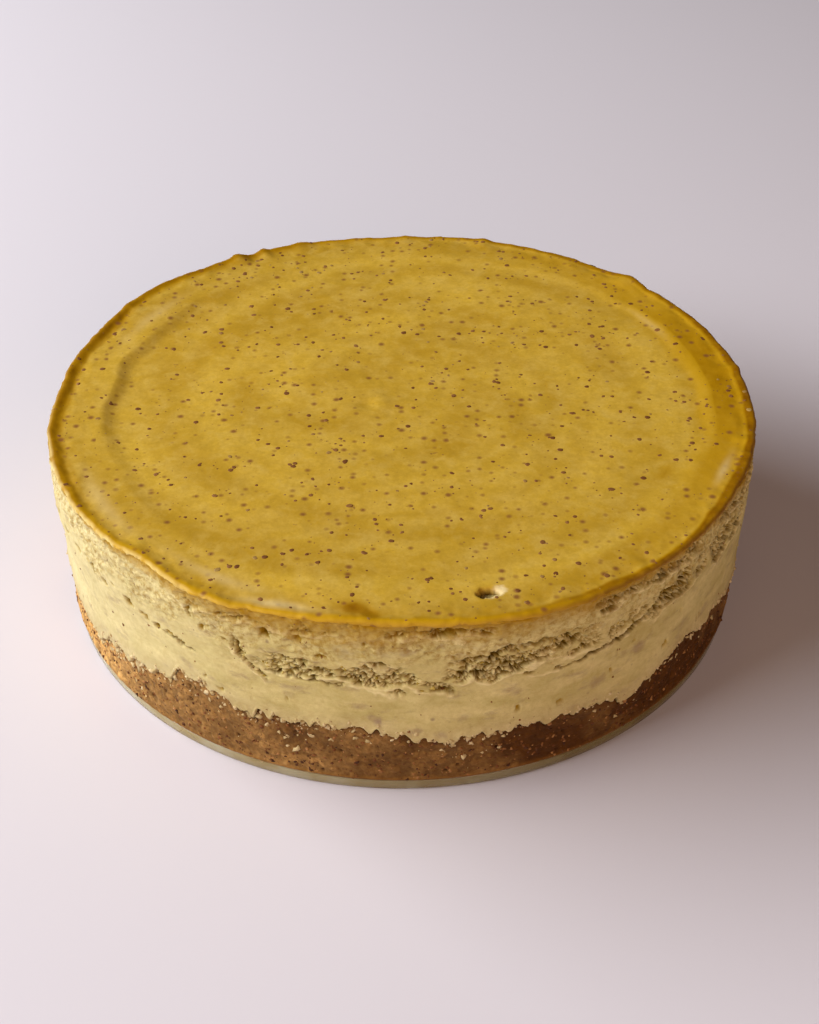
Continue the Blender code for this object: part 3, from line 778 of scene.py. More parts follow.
def strewing_tree():
    """Strews small irregular lumps over a surface, thickest where the named attribute is 1, and
    joins them into one mesh. Each lump keeps its own number as the attribute tone."""
    tree = bpy.data.node_groups.new("strewn_lumps", "GeometryNodeTree")
    given = add_inputs(tree, (
        ("Surface", "NodeSocketGeometry"), ("Where", "NodeSocketString"),
        ("Lumps in a square metre", "NodeSocketFloat"), ("Seed", "NodeSocketInt"),
        ("Smallest", "NodeSocketFloat"), ("Largest", "NodeSocketFloat"),
        ("Bias to small", "NodeSocketFloat"), ("Flatness", "NodeSocketFloat"),
        ("Sunk share", "NodeSocketFloat"), ("Facets", "NodeSocketInt"),
        ("Raggedness", "NodeSocketFloat"), ("Finish", "NodeSocketMaterial"),
    ))
    where = add(tree, "GeometryNodeInputNamedAttribute", {"Name": given["Where"]},
                data_type="FLOAT").outputs["Attribute"]
    density = add(tree, "ShaderNodeMath", {0: where, 1: given["Lumps in a square metre"]},
                  operation="MULTIPLY").outputs[0]
    strewn = add(tree, "GeometryNodeDistributePointsOnFaces", {
        "Mesh": given["Surface"], "Density": density, "Seed": given["Seed"],
    }, distribute_method="RANDOM").outputs
    chance = add(tree, "FunctionNodeRandomValue", {2: 0.0, 3: 1.0, "Seed": given["Seed"]},
                 data_type="FLOAT").outputs[1]
    biased = add(tree, "ShaderNodeMath", {0: chance, 1: given["Bias to small"]},
                 operation="POWER").outputs[0]
    size = add(tree, "ShaderNodeMapRange", {
        0: biased, 1: 0.0, 2: 1.0, 3: given["Smallest"], 4: given["Largest"],
    }).outputs[0]
    sized = add(tree, "GeometryNodeStoreNamedAttribute", {
        "Geometry": strewn["Points"], "Name": "lump_size", "Value": size,
    }, data_type="FLOAT", domain="POINT").outputs[0]
    own_size = add(tree, "GeometryNodeInputNamedAttribute", {"Name": "lump_size"},
                   data_type="FLOAT").outputs["Attribute"]
    depth = add(tree, "ShaderNodeMath", {0: own_size, 1: given["Sunk share"]},
                operation="MULTIPLY").outputs[0]
    inwards = add(tree, "ShaderNodeMath", {0: depth, 1: -1.0}, operation="MULTIPLY").outputs[0]
    offset = add(tree, "ShaderNodeVectorMath", {0: strewn["Normal"], "Scale": inwards},
                 operation="SCALE").outputs[0]
    pressed = add(tree, "GeometryNodeSetPosition", {"Geometry": sized, "Offset": offset}).outputs[0]
    ball = add(tree, "GeometryNodeMeshIcoSphere", {
        "Radius": 0.5, "Subdivisions": given["Facets"],
    }).outputs[0]
    longer = add(tree, "FunctionNodeRandomValue", {2: 0.75, 3: 1.35, "Seed": 5},
                 data_type="FLOAT").outputs[1]
    across = add(tree, "ShaderNodeCombineXYZ", {
        "X": longer, "Y": 1.0, "Z": given["Flatness"],
    }).outputs[0]
    scale = add(tree, "ShaderNodeVectorMath", {0: across, "Scale": own_size},
                operation="SCALE").outputs[0]
    angle = add(tree, "FunctionNodeRandomValue", {2: 0.0, 3: math.tau, "Seed": 9},
                data_type="FLOAT").outputs[1]
    spin = add(tree, "FunctionNodeAxisAngleToRotation", {"Axis": (0, 0, 1), "Angle": angle})
    turned = add(tree, "FunctionNodeRotateRotation", {
        "Rotation": strewn["Rotation"], "Rotate By": spin.outputs[0],
    }, rotation_space="LOCAL").outputs[0]
    placed = add(tree, "GeometryNodeInstanceOnPoints", {
        "Points": pressed, "Instance": ball, "Rotation": turned, "Scale": scale,
    }).outputs[0]
    tone = add(tree, "FunctionNodeRandomValue", {2: 0.0, 3: 1.0, "Seed": 3},
               data_type="FLOAT").outputs[1]
    toned = add(tree, "GeometryNodeStoreNamedAttribute", {
        "Geometry": placed, "Name": "tone", "Value": tone,
    }, data_type="FLOAT", domain="INSTANCE").outputs[0]
    real = add(tree, "GeometryNodeRealizeInstances", {"Geometry": toned}).outputs[0]
    place = add(tree, "GeometryNodeInputPosition").outputs[0]
    bumps = add(tree, "ShaderNodeTexNoise", {
        "Vector": place, "Scale": 1.1 * PER_MM, "Detail": 1.0,
    }, noise_dimensions="3D").outputs[1]
    even = add(tree, "ShaderNodeVectorMath", {0: bumps, 1: (0.5, 0.5, 0.5)},
               operation="SUBTRACT").outputs[0]
    reach = add(tree, "ShaderNodeMath", {0: own_size, 1: given["Raggedness"]},
                operation="MULTIPLY").outputs[0]
    push = add(tree, "ShaderNodeVectorMath", {0: even, "Scale": reach}, operation="SCALE").outputs[0]
    ragged = add(tree, "GeometryNodeSetPosition", {"Geometry": real, "Offset": push}).outputs[0]
    smoothed = add(tree, "GeometryNodeSetShadeSmooth", {"Geometry": ragged}).outputs[0]
    finished = add(tree, "GeometryNodeSetMaterial", {
        "Geometry": smoothed, "Material": given["Finish"],
    }).outputs[0]
    add(tree, "NodeGroupOutput", {0: finished})
    return tree


def turned_disc_tree():
    """Turns a thin disc whose edge is rounded: a grid is wrapped so that one side runs round the
    disc and the other from the middle of its top, over the edge, to the middle of its foot."""
    tree = bpy.data.node_groups.new("turned_disc", "GeometryNodeTree")
    given = add_inputs(tree, (
        ("Radius", "NodeSocketFloat"), ("Thickness", "NodeSocketFloat"),
        ("Roundness of edge", "NodeSocketFloat"), ("Steps round", "NodeSocketInt"),
        ("Steps over", "NodeSocketInt"), ("Finish", "NodeSocketMaterial"),
    ))
    grid = add(tree, "GeometryNodeMeshGrid", {
        "Size X": 1.0, "Size Y": 1.0,
        "Vertices X": given["Steps round"], "Vertices Y": given["Steps over"],
    }).outputs[0]
    place = add(tree, "GeometryNodeInputPosition").outputs[0]
    apart = add(tree, "ShaderNodeSeparateXYZ", {0: place}).outputs
    turn = add(tree, "ShaderNodeMath", {0: apart[0], 1: math.tau}, operation="MULTIPLY").outputs[0]
    over = add(tree, "ShaderNodeMath", {0: apart[1], 1: math.pi}, operation="MULTIPLY").outputs[0]
    out = add(tree, "ShaderNodeMath", {0: over}, operation="COSINE").outputs[0]
    out = add(tree, "ShaderNodeMath", {0: out, 1: 0.0}, operation="MAXIMUM").outputs[0]
    out = add(tree, "ShaderNodeMath", {0: out, 1: given["Roundness of edge"]},
              operation="POWER").outputs[0]
    radius = add(tree, "ShaderNodeMath", {0: out, 1: given["Radius"]},
                 operation="MULTIPLY").outputs[0]
    up = add(tree, "ShaderNodeMath", {0: over}, operation="SINE").outputs[0]
    side = add(tree, "ShaderNodeMath", {0: up}, operation="SIGN").outputs[0]
    tall = add(tree, "ShaderNodeMath", {0: up}, operation="ABSOLUTE").outputs[0]
    tall = add(tree, "ShaderNodeMath", {0: tall, 1: given["Roundness of edge"]},
               operation="POWER").outputs[0]
    tall = add(tree, "ShaderNodeMath", {0: tall, 1: side}, operation="MULTIPLY").outputs[0]
    half = add(tree, "ShaderNodeMath", {0: given["Thickness"], 1: 0.5},
               operation="MULTIPLY").outputs[0]
    height = add(tree, "ShaderNodeMath", {0: tall, 1: half, 2: half},
                 operation="MULTIPLY_ADD").outputs[0]
    east = add(tree, "ShaderNodeMath", {0: turn}, operation="COSINE").outputs[0]
    east = add(tree, "ShaderNodeMath", {0: east, 1: radius}, operation="MULTIPLY").outputs[0]
    north = add(tree, "ShaderNodeMath", {0: turn}, operation="SINE").outputs[0]
    north = add(tree, "ShaderNodeMath", {0: north, 1: radius}, operation="MULTIPLY").outputs[0]
    wrapped = add(tree, "ShaderNodeCombineXYZ", {"X": east, "Y": north, "Z": height}).outputs[0]
    made = add(tree, "GeometryNodeSetPosition", {"Geometry": grid, "Position": wrapped}).outputs[0]
    closed = add(tree, "GeometryNodeMergeByDistance", {
        "Geometry": made, "Distance": 0.002 * MM,
    }).outputs[0]
    smoothed = add(tree, "GeometryNodeSetShadeSmooth", {"Geometry": closed}).outputs[0]
    real = add(tree, "GeometryNodeRealizeInstances", {"Geometry": smoothed}).outputs[0]
    finished = add(tree, "GeometryNodeSetMaterial", {
        "Geometry": real, "Material": given["Finish"],
    }).outputs[0]
    add(tree, "NodeGroupOutput", {0: finished})
    return tree


def grown(name, surface, tree, sizes):
    """Runs a tree on a copy of a surface, and keeps the result as a plain mesh."""
    worked = new_object(name + "_worked", surface)
    modifier = worked.modifiers.new("growing", "NODES")
    modifier.node_group = tree
    for socket in tree.interface.items_tree:
        if socket.in_out == "INPUT" and socket.name in sizes:
            modifier[socket.identifier] = sizes[socket.name]
    seen = worked.evaluated_get(bpy.context.evaluated_depsgraph_get())
    mesh = bpy.data.meshes.new_from_object(seen)
    mesh.name = name
    worked.modifiers.remove(modifier)
    bpy.data.objects.remove(worked)
    return new_object(name, mesh)


def facing_out(piece):
    """Turns a closed piece's faces outwards."""
    shaped = bmesh.new()
    shaped.from_mesh(piece.data)
    bmesh.ops.recalc_face_normals(shaped, faces=shaped.faces)
    shaped.to_mesh(piece.data)
    shaped.free()
    return piece


# ---------------------------------------------------------------- finishes

def new_finish(name, roughness, specular, ior, marks=()):
    """An empty finish: its material, tree and shader, where each place on the piece is, in metres,
    and how strong each named mark of the piece is there."""
    material = bpy.data.materials.new(name)
    material.use_nodes = True
    tree = material.node_tree
    shader = tree.nodes["Principled BSDF"]
    shader.inputs["Roughness"].default_value = roughness
    shader.inputs["Specular IOR Level"].default_value = specular
    shader.inputs["IOR"].default_value = ior
    place = add(tree, "ShaderNodeTexCoord").outputs["Object"]
    given = [add(tree, "ShaderNodeAttribute", attribute_name=mark).outputs["Fac"] for mark in marks]
    return material, tree, shader, place, given


def finish_surface(tree, shader, colour, rough, height, strength, depth):
    """Gives the shader its colour, its roughness where that varies, and a relief that deep."""
    tree.links.new(colour, shader.inputs["Base Color"])
    if rough:
        tree.links.new(rough, shader.inputs["Roughness"])
    raised = add(tree, "ShaderNodeBump", {
        "Strength": strength, "Distance": depth, "Height": height,
    }).outputs[0]
    tree.links.new(raised, shader.inputs["Normal"])


def strewn_dots(tree, place, spacing, channel, bare, widest, soft, strength):
    """How strongly soft round dots show at each place. There is one in each cell of that many
    millimetres, but for the bare share of the cells. widest is the largest half width, and soft
    says how far inside it a dot begins and is full, each as a share of the spacing. channel
    picks the cell's random number that sets its own half width."""
    cells = add(tree, "ShaderNodeTexVoronoi", {
        "Vector": place, "Scale": PER_MM / spacing, "Randomness": 1.0,
    }).outputs
    own = add(tree, "ShaderNodeSeparateColor", {0: cells["Color"]}).outputs[channel]
    half_width = add(tree, "ShaderNodeMapRange", {0: own, 1: bare, 2: 1.0, 3: 0.0, 4: widest}
                     ).outputs[0]
    inside = add(tree, "ShaderNodeMath", {0: half_width, 1: cells["Distance"]},
                 operation="SUBTRACT").outputs[0]
    return add(tree, "ShaderNodeMapRange", {
        0: inside, 1: soft[0], 2: soft[1], 3: 0.0, 4: strength,
    }).outputs[0]


def satin_baked_skin():
    """Baked egg custard with ground pistachio: cream cheese and egg that set under dry heat. The
    skin is ochre green, browner at the rim, dotted with bits of nut just under it, and has a
    soft butter gloss."""
    material, tree, shader, place, given = new_finish(
        "satin_baked_custard_skin", roughness=0.46, specular=0.14, ior=1.42,
        marks=("edge", "browned", "strokes", "hollow", "pale", "cream"),
    )
    edge, browned, strokes, hollow, pale, cream = given

    # Slow swirls from the spoon, about 13 mm apart
    swirl = add(tree, "ShaderNodeMapRange", {0: strokes, 1: -0.55, 2: 0.55}).outputs[0]
    colour = add(tree, "ShaderNodeMix", {
        0: swirl, 6: linear("#B68E26"), 7: linear("#CFA83A"),
    }, data_type="RGBA").outputs[2]
    # Cloudy patches 9 mm across, where the butter rose
    cloud = add(tree, "ShaderNodeTexNoise", {
        "Vector": place, "Scale": PER_MM / 9.0, "Detail": 4.0, "Roughness": 0.6, "Distortion": 0.6,
    }).outputs[0]
    cloudy = add(tree, "ShaderNodeMapRange", {0: cloud, 1: 0.42, 2: 0.75, 3: 0.0, 4: 0.6}).outputs[0]
    # Mottling 4.5 mm across: greener where there is more nut, and creamier where there is less
    mottle = add(tree, "ShaderNodeTexNoise", {
        "Vector": place, "Scale": PER_MM / 4.5, "Detail": 3.0, "Roughness": 0.55,
        "Distortion": 0.3,
    }).outputs[0]
    greener = add(tree, "ShaderNodeMapRange", {0: mottle, 1: 0.36, 2: 0.52, 3: 0.28, 4: 0.0}).outputs[0]
    creamier = add(tree, "ShaderNodeMapRange", {0: mottle, 1: 0.52, 2: 0.68, 3: 0.0, 4: 0.28}
                   ).outputs[0]
    # Ground nut, in grains drawn 1.3 mm across so that they show
    grain = add(tree, "ShaderNodeTexNoise", {
        "Vector": place, "Scale": PER_MM / 1.3, "Detail": 3.0, "Roughness": 0.7,
    }).outputs[0]
    grainy = add(tree, "ShaderNodeMapRange", {0: grain, 1: 0.35, 2: 0.70, 3: 0.30, 4: 0.0}).outputs[0]
    # Browning at the rim and pale torn custard on the lip, both in blotches 6 mm across
    blotch = add(tree, "ShaderNodeTexNoise", {
        "Vector": place, "Scale": PER_MM / 6.0, "Detail": 3.0, "Roughness": 0.6,
    }).outputs[0]
    uneven = add(tree, "ShaderNodeMapRange", {0: blotch, 1: 0.30, 2: 0.65, 3: 0.65, 4: 1.15},
                 clamp=False).outputs[0]
    darkest = add(tree, "ShaderNodeMapRange", {0: browned, 1: 0.55, 2: 1.25, 3: 0.0, 4: 0.85}
                  ).outputs[0]
    toasted, dark_toast, torn = [
        add(tree, "ShaderNodeMath", {0: share, 1: uneven}, operation="MULTIPLY", use_clamp=True
            ).outputs[0]
        for share in (browned, darkest, cream)
    ]
    golden = add(tree, "ShaderNodeMath", {0: edge, 1: 0.88}, operation="MULTIPLY").outputs[0]
    # Bits of nut under the skin: soft brown dots, with finer and fainter ones between them
    dots = strewn_dots(tree, place, spacing=3.6, channel=0, bare=0.25, widest=0.33,
                       soft=(-0.08, 0.18), strength=0.85)
    fine_dots = strewn_dots(tree, place, spacing=2.6, channel=1, bare=0.55, widest=0.17,
                            soft=(0.0, 0.09), strength=0.5)
    # Last the crater: painted shade dark inside, and pale broken custard with a painted highlight beside
    # it
    for share, code in (
        (cloudy, "#CCAA50"), (greener, "#A8862A"), (creamier, "#D2B258"), (grainy, "#9C7A1C"),
        (toasted, "#A47804"), (golden, "#BC8E06"), (dark_toast, "#7E5000"), (torn, "#D8C684"),
        (dots, "#7C4E2A"), (fine_dots, "#86602A"), (pale, "#DCC48C"), (hollow, "#3E260C"),
    ):
        colour = add(tree, "ShaderNodeMix", {0: share, 6: colour, 7: linear(code)},
                     data_type="RGBA").outputs[2]
    gloss = add(tree, "ShaderNodeMapRange", {0: cloud, 1: 0.3, 2: 0.7, 3: 0.40, 4: 0.56}).outputs[0]
    # Fine pebbling, 1.6 mm across
    pebbles = add(tree, "ShaderNodeTexNoise", {
        "Vector": place, "Scale": PER_MM / 1.6, "Detail": 2.0, "Roughness": 0.6,
    }).outputs[0]
    finish_surface(tree, shader, colour, gloss, pebbles, strength=0.5, depth=0.10 * MM)
    return material


def torn_custard_finish():
    """The same custard under its skin, pulled off the tin: pale, dull and close, olive where it
    is torn deep, darker at its foot, and with grey-mauve traces of nut skin. Deep tears, splits
    and cracks are painted darker as painted shade, the left side is painted paler as painted
    light from the window, and thin layer edges and the lips under the bands carry painted highlights."""
    material, tree, shader, place, given = new_finish(
        "torn_baked_custard", roughness=0.62, specular=0.10, ior=1.42,
        marks=("sunk", "split", "lip", "stain", "foot", "crumbly", "pitted", "flake", "mauve"),
    )
    sunk, split, lip, stain, foot, crumbly, pitted, flake, patch = given
    shader.inputs["Subsurface Weight"].default_value = 0.05
    shader.inputs["Subsurface Radius"].default_value = (1.0, 0.7, 0.3)
    shader.inputs["Subsurface Scale"].default_value = 1.5 * MM

    # Cloudy colour, wider than tall, 12 mm
    wide = add(tree, "ShaderNodeMapping", {"Vector": place, "Scale": (1.0, 1.0, 2.2)}).outputs[0]
    cloud = add(tree, "ShaderNodeTexNoise", {
        "Vector": wide, "Scale": PER_MM / 12.0, "Detail": 5.0, "Roughness": 0.6,
    }).outputs[0]
    cloudy = add(tree, "ShaderNodeMapRange", {0: cloud, 1: 0.35, 2: 0.68}).outputs[0]
    colour = add(tree, "ShaderNodeMix", {
        0: cloudy, 6: linear("#B8A666"), 7: linear("#D2C082"),
    }, data_type="RGBA").outputs[2]
    # Painted light: paler on the left side, which faces the window
    across = add(tree, "ShaderNodeSeparateXYZ", {0: place}).outputs[0]
    painted_window_light = add(tree, "ShaderNodeMapRange", {0: across, 1: -110.0 * MM, 2: -35.0 * MM, 3: 0.5, 4: 0.0}
                ).outputs[0]
    # Nut skin: faint traces 9 mm across, the single patches, and small dots
    mauve = add(tree, "ShaderNodeTexNoise", {
        "Vector": wide, "Scale": PER_MM / 9.0, "Detail": 4.0, "Roughness": 0.65,
    }).outputs[0]
    traces = add(tree, "ShaderNodeMapRange", {0: mauve, 1: 0.55, 2: 0.74, 3: 0.0, 4: 0.55}).outputs[0]
    speckled = add(tree, "ShaderNodeMapRange", {0: mauve, 1: 0.35, 2: 0.60, 3: 0.45, 4: 0.95}
                   ).outputs[0]
    patched = add(tree, "ShaderNodeMath", {0: patch, 1: speckled}, operation="MULTIPLY").outputs[0]
    traces = add(tree, "ShaderNodeMath", {0: traces, 1: patched}, operation="MAXIMUM").outputs[0]
    dots = strewn_dots(tree, place, spacing=4.6, channel=0, bare=0.5, widest=0.17,
                       soft=(-0.03, 0.10), strength=0.65)
    # Torn deep it is moist and olive, and it is painted darker there still, and near black in its splits
    # and cracks, as painted shade
    deep = add(tree, "ShaderNodeMapRange", {0: sunk, 1: 0.12, 2: 0.75, 3: 0.0, 4: 0.92}).outputs[0]
    deepest = add(tree, "ShaderNodeMapRange", {0: sunk, 1: 0.65, 2: 1.0, 3: 0.0, 4: 0.7}).outputs[0]
    # Pits are yellower, as nut butter gathered in them, and the lips under torn bands and the thin edges
    # of layers are painted paler as painted highlights
    footing, painted_light, cracked, yellowed, thin = [
        add(tree, "ShaderNodeMath", {0: mark, 1: strength}, operation="MULTIPLY").outputs[0]
        for mark, strength in (
            (foot, 0.35), (lip, 0.65), (split, 0.95), (pitted, 0.85), (flake, 0.65),
        )
    ]
    # Crumbly places show yellow-brown meal 1.8 mm across
    meal = add(tree, "ShaderNodeTexNoise", {
        "Vector": place, "Scale": PER_MM / 1.8, "Detail": 4.0, "Roughness": 0.7,
    }).outputs[0]
    mealy = add(tree, "ShaderNodeMapRange", {0: meal, 1: 0.45, 2: 0.62, 3: 0.0, 4: 0.75}).outputs[0]
    crumbled = add(tree, "ShaderNodeMapRange", {0: crumbly, 3: 0.22, 4: 0.85}).outputs[0]
    mealy = add(tree, "ShaderNodeMath", {0: mealy, 1: crumbled}, operation="MULTIPLY").outputs[0]
    # Ochre butter that ran down from the skin
    patchy = add(tree, "ShaderNodeMapRange", {0: mauve, 1: 0.3, 2: 0.7, 3: 0.6, 4: 1.1},
                 clamp=False).outputs[0]
    stained_here = add(tree, "ShaderNodeMath", {0: stain, 1: patchy}, operation="MULTIPLY",
                       use_clamp=True).outputs[0]
    for share, code in (
        (painted_window_light, "#D8CAA0"), (traces, "#8A705C"), (footing, "#A89070"), (dots, "#7A6050"),
        (painted_light, "#EAD8A0"), (deep, "#7E6200"), (cracked, "#483400"), (deepest, "#4A3600"),
        (yellowed, "#9A7808"), (thin, "#EAD89C"), (mealy, "#98762A"), (stained_here, "#A07604"),
    ):
        colour = add(tree, "ShaderNodeMix", {0: share, 6: colour, 7: linear(code)},
                     data_type="RGBA").outputs[2]
    # Curd 1.5 mm across, smeared sideways
    curd = add(tree, "ShaderNodeTexNoise", {
        "Vector": wide, "Scale": PER_MM / 1.5, "Detail": 4.0, "Roughness": 0.65,
    }).outputs[0]
    finish_surface(tree, shader, colour, None, curd, strength=0.7, depth=0.24 * MM)
    return material


def pressed_biscuit():
    """Crushed digestive biscuit bound with melted butter and baked: brown crumbs of 1 to 2 mm,
    nearly black in the holes and in the gap under the custard as painted shade, and amber and
    shiny where butter gathered at the foot. It is painted paler towards the window and browner
    away from it, as painted light and shade, with patches of toasting."""
    material, tree, shader, place, given = new_finish(
        "pressed_buttered_biscuit", roughness=0.62, specular=0.12, ior=1.45,
        marks=("hole", "oily", "grain", "toasted"),
    )
    hole, oily, grain, toasted = given
    # Painted light and shade: paler towards the window and browner away from it, mixed with patches of
    # toasting
    colour = add(tree, "ShaderNodeMix", {
        0: toasted, 6: linear("#D8A660"), 7: linear("#523008"),
    }, data_type="RGBA").outputs[2]
    # Each crumb is darker or paler as a whole
    each = add(tree, "ShaderNodeMapRange", {0: grain, 1: 0.0, 2: 1.0, 3: 0.66, 4: 1.20},
               clamp=False).outputs[0]
    grey = add(tree, "ShaderNodeCombineColor", {0: each, 1: each, 2: each}).outputs[0]
    colour = add(tree, "ShaderNodeMix", {0: 1.0, 6: colour, 7: grey}, data_type="RGBA",
                 blend_type="MULTIPLY").outputs[2]
    # Meal between the crumbs, 1.2 mm
    meal = add(tree, "ShaderNodeTexNoise", {
        "Vector": place, "Scale": PER_MM / 1.2, "Detail": 4.0, "Roughness": 0.7,
    }).outputs[0]
    mealy = add(tree, "ShaderNodeMapRange", {0: meal, 1: 0.38, 2: 0.62, 3: 0.45, 4: 0.0}).outputs[0]
    dots = strewn_dots(tree, place, spacing=3.4, channel=0, bare=0.5, widest=0.18,
                       soft=(-0.03, 0.10), strength=0.75)
    buttery = add(tree, "ShaderNodeMath", {0: oily, 1: 0.50}, operation="MULTIPLY").outputs[0]
    # The holes and the gap under the custard are painted near black as painted shade
    for share, code in (
        (mealy, "#482408"), (dots, "#3A1E12"), (hole, "#341A0A"), (buttery, "#845414"),
    ):
        colour = add(tree, "ShaderNodeMix", {0: share, 6: colour, 7: linear(code)},
                     data_type="RGBA").outputs[2]
    wet = add(tree, "ShaderNodeMapRange", {0: oily, 1: 0.0, 2: 1.0, 3: 0.66, 4: 0.34}).outputs[0]
    finish_surface(tree, shader, colour, wet, meal, strength=0.8, depth=0.25 * MM)
    return material


def tinted_lumps(name, roughness, darkest, middle, palest, share_of_pale):
    """Small loose bits, each in its own tone from the darkest to the palest, and mottled."""
    material, tree, shader, place, (tone,) = new_finish(
        name, roughness, specular=0.20, ior=1.45, marks=("tone",),
    )
    low = add(tree, "ShaderNodeMapRange", {0: tone, 1: 0.0, 2: 1.0 - share_of_pale}).outputs[0]
    high = add(tree, "ShaderNodeMapRange", {0: tone, 1: 1.0 - share_of_pale, 2: 1.0}).outputs[0]
    mottle = add(tree, "ShaderNodeTexNoise", {
        "Vector": place, "Scale": PER_MM / 0.7, "Detail": 2.0,
    }).outputs[0]
    dark = add(tree, "ShaderNodeMapRange", {0: mottle, 1: 0.3, 2: 0.6, 3: 0.35, 4: 0.0}).outputs[0]
    colour = linear(darkest)
    for share, code in ((low, middle), (high, palest), (dark, darkest)):
        colour = add(tree, "ShaderNodeMix", {0: share, 6: colour, 7: linear(code)},
                     data_type="RGBA").outputs[2]
    finish_surface(tree, shader, colour, None, mottle, strength=0.4, depth=0.08 * MM)
    return material


def clear_pressed_glass():
    """Soda-lime glass, pressed: nearly clear, with the green of its thickness at the edge and a
    soft sheen where the edge was fire-polished. Butter has filmed it in places. It is painted
    paler towards the window at the left and olive away from it, as painted light and shade."""
    material, tree, shader, place, _ = new_finish(
        "pressed_soda_lime_glass", roughness=0.16, specular=0.5, ior=1.52,
    )
    shader.inputs["Transmission Weight"].default_value = 0.55
    film = add(tree, "ShaderNodeTexNoise", {
        "Vector": place, "Scale": PER_MM / 14.0, "Detail": 3.0,
    }).outputs[0]
    filmed = add(tree, "ShaderNodeMapRange", {0: film, 1: 0.4, 2: 0.65}).outputs[0]
    # Painted light: paler at the left, where it faces the window, and painted shade: olive towards the
    # right, away from it
    across = add(tree, "ShaderNodeSeparateXYZ", {0: place}).outputs[0]
    shaded = add(tree, "ShaderNodeMapRange", {0: across, 1: -80.0 * MM, 2: 60.0 * MM}).outputs[0]
    clean, buttered = [
        add(tree, "ShaderNodeMix", {0: shaded, 6: linear(painted_light), 7: linear(olive)},
            data_type="RGBA").outputs[2]
        for painted_light, olive in (("#ECE2B8", "#A08C50"), ("#D8C080", "#8A7030"))
    ]
    colour = add(tree, "ShaderNodeMix", {0: filmed, 6: clean, 7: buttered}, data_type="RGBA"
                 ).outputs[2]
    dull = add(tree, "ShaderNodeMapRange", {0: filmed, 3: 0.10, 4: 0.28}).outputs[0]
    waves = add(tree, "ShaderNodeTexNoise", {
        "Vector": place, "Scale": PER_MM / 6.0, "Detail": 1.0,
    }).outputs[0]
    finish_surface(tree, shader, colour, dull, waves, strength=0.3, depth=0.15 * MM)
    return material


def limewashed_floor():
    """A plain table top, limewashed and dull."""
    material, _, shader, _, _ = new_finish(
        "limewashed_plaster", roughness=0.8, specular=0.2, ior=1.45,
    )
    shader.inputs["Base Color"].default_value = linear(FLOOR_COLOUR)
    return material


# ---------------------------------------------------------------- stage

def area_light(name, place, aim, wide, tall, watts, colour):
    """A lit rectangle in the room, turned to face a point."""
    lamp = bpy.data.lights.new(name, "AREA")
    lamp.shape = "RECTANGLE"
    lamp.size = wide
    lamp.size_y = tall
    lamp.energy = watts
    lamp.color = linear(colour)[:3]
    holder = new_object(name, lamp)
    holder.location = place
    away = Vector(aim) - Vector(place)
    holder.rotation_euler = away.to_track_quat("-Z", "Y").to_euler()


def make_stage():
    """A pale floor, a window to the left, and a weak fill from the front."""
    floor_mesh = bpy.data.meshes.new("floor")
    side = FLOOR_HALF_SIDE
    floor_mesh.from_pydata(
        [(-side, -side, 0.0), (side, -side, 0.0), (side, side, 0.0), (-side, side, 0.0)],
        [], [(0, 1, 2, 3)],
    )
    floor = new_object("floor", floor_mesh)
    floor.data.materials.append(limewashed_floor())
    area_light("window", place=(-1.45, 0.02, 0.98), aim=(0.0, 0.0, 0.03),
               wide=2.4, tall=0.6, watts=62.5, colour="#F8FBFF")
    area_light("room_fill", place=(0.55, -1.6, 0.80), aim=(0.0, 0.0, 0.0),
               wide=1.4, tall=0.9, watts=14.5, colour="#FFDCC6")
    world = bpy.data.worlds.new("soft_room")
    world.use_nodes = True
    back = world.node_tree.nodes["Background"]
    back.inputs["Color"].default_value = linear("#F0C6B0")
    back.inputs["Strength"].default_value = 0.06
    bpy.context.scene.world = world
    bpy.context.scene.view_settings.view_transform = "Standard"


def make_camera():
    """Looks down at the front at the angle of a person standing at a table."""
    elevation = math.radians(CAMERA_ELEVATION)
    camera = bpy.data.cameras.new("camera")
    camera.sensor_width = 36.0
    camera.lens = CAMERA_LENS
    camera.clip_start = 0.01
    holder = new_object("camera", camera)
    away = Vector((0.0, -math.cos(elevation), math.sin(elevation)))
    holder.location = Vector(CAMERA_TARGET) + CAMERA_DISTANCE * away
    holder.rotation_euler = (-away).to_track_quat("-Z", "Y").to_euler()
    bpy.context.scene.camera = holder


def finish_piece(piece, replaced=None):
    """Says which body a piece rides on, and what it replaces."""
    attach(piece, "root")
    if replaced:
        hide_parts(replaced)


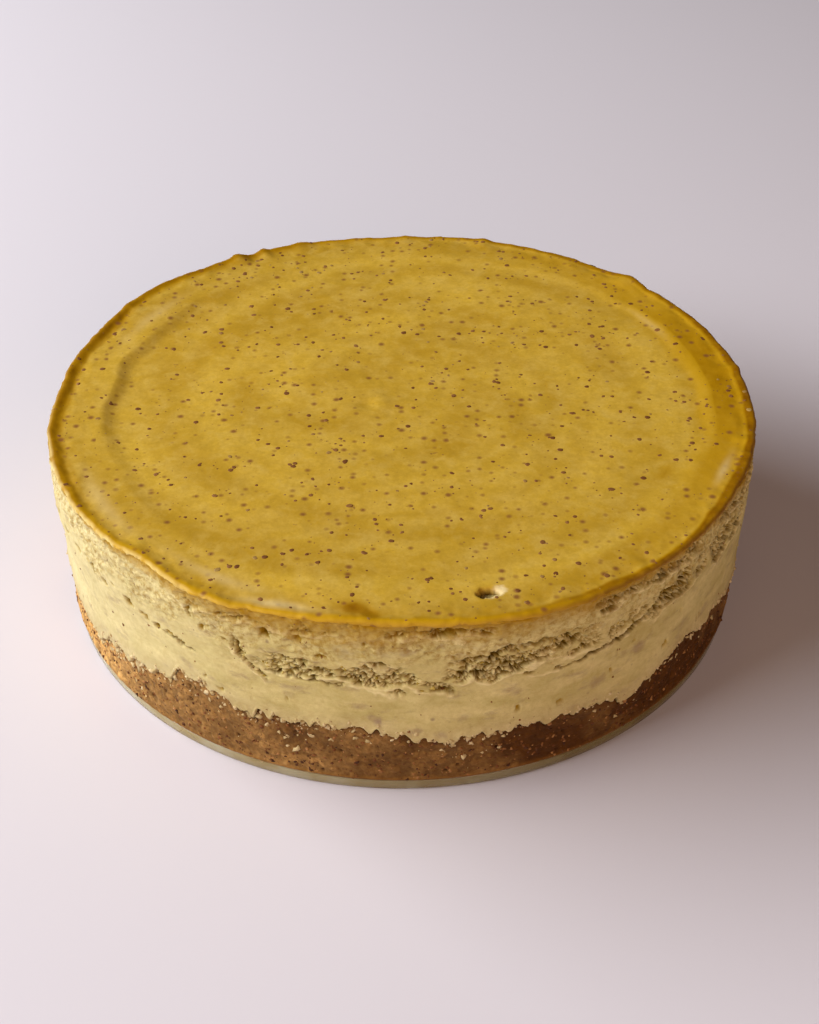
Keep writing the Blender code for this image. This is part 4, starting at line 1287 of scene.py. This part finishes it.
def main():
    make_camera()
    make_stage()
    body = make_custard_body()
    body.data.materials.append(torn_custard_finish())
    finish_piece(body, "pistachio_filling")
    skin = make_baked_skin()
    skin.data.materials.append(satin_baked_skin())
    finish_piece(skin)
    crumb = make_biscuit_crumb()
    crumb.data.materials.append(pressed_biscuit())
    finish_piece(crumb, "biscuit_crust")

    disc_tree = turned_disc_tree()
    empty = bpy.data.meshes.new("nothing")
    glass = facing_out(grown("glass_base", empty, disc_tree, {
        "Radius": GLASS_RADIUS, "Thickness": GLASS_TOP, "Roundness of edge": 0.10,
        "Steps round": 361, "Steps over": 41, "Finish": clear_pressed_glass(),
    }))
    finish_piece(glass, "tin_base")

    tree = strewing_tree()
    nut_skin = tinted_lumps("ground_nut_skin", 0.5, "#6C4220", "#8E6234", "#A68648", 0.2)
    custard_crumb = tinted_lumps("torn_custard_crumb", 0.6, "#806A1C", "#AE9240", "#D8C276", 0.45)
    smeared_custard = tinted_lumps("smeared_custard", 0.55, "#B29A68", "#C6AE7C", "#D8C294", 0.5)
    biscuit_grain = tinted_lumps("loose_biscuit_grain", 0.65, "#3C1F0E", "#7C4A22", "#B4814C", 0.3)
    strewn = (
        ("skin_nut_specks", skin, "pistachio_custard", {
            "Where": "specks", "Lumps in a square metre": 47000.0, "Seed": 11,
            "Smallest": 0.35 * MM, "Largest": 1.85 * MM, "Bias to small": 2.4, "Flatness": 0.11,
            "Sunk share": 0.0, "Facets": 2, "Raggedness": 0.22, "Finish": nut_skin,
        }),
        ("side_nut_specks", body, "pistachio_custard", {
            "Where": "specks", "Lumps in a square metre": 9000.0, "Seed": 12,
            "Smallest": 0.3 * MM, "Largest": 1.2 * MM, "Bias to small": 2.4, "Flatness": 0.30,
            "Sunk share": 0.08, "Facets": 2, "Raggedness": 0.9, "Finish": nut_skin,
        }),
        ("torn_crumbs", body, "pistachio_custard", {
            "Where": "crumbs", "Lumps in a square metre": 100000.0, "Seed": 13,
            "Smallest": 0.4 * MM, "Largest": 1.6 * MM, "Bias to small": 2.6, "Flatness": 0.50,
            "Sunk share": 0.12, "Facets": 1, "Raggedness": 1.3, "Finish": custard_crumb,
        }),
        ("seam_custard_bits", body, "pistachio_custard", {
            "Where": "bits", "Lumps in a square metre": 600000.0, "Seed": 14,
            "Smallest": 0.4 * MM, "Largest": 1.7 * MM, "Bias to small": 2.2, "Flatness": 0.7,
            "Sunk share": 0.12, "Facets": 1, "Raggedness": 1.2, "Finish": smeared_custard,
        }),
        ("crust_custard_bits", crumb, "pistachio_custard", {
            "Where": "bits", "Lumps in a square metre": 620000.0, "Seed": 15,
            "Smallest": 0.4 * MM, "Largest": 2.2 * MM, "Bias to small": 2.4, "Flatness": 0.45,
            "Sunk share": 0.05, "Facets": 1, "Raggedness": 1.2, "Finish": smeared_custard,
        }),
        ("biscuit_grains", crumb, "biscuit_crumb", {
            "Where": "grains", "Lumps in a square metre": 330000.0, "Seed": 16,
            "Smallest": 0.35 * MM, "Largest": 1.5 * MM, "Bias to small": 2.2, "Flatness": 0.75,
            "Sunk share": 0.18, "Facets": 1, "Raggedness": 1.1, "Finish": biscuit_grain,
        }),
    )
    for name, surface, slot, sizes in strewn:
        finish_piece(grown(name, surface.data, tree, sizes))


main()
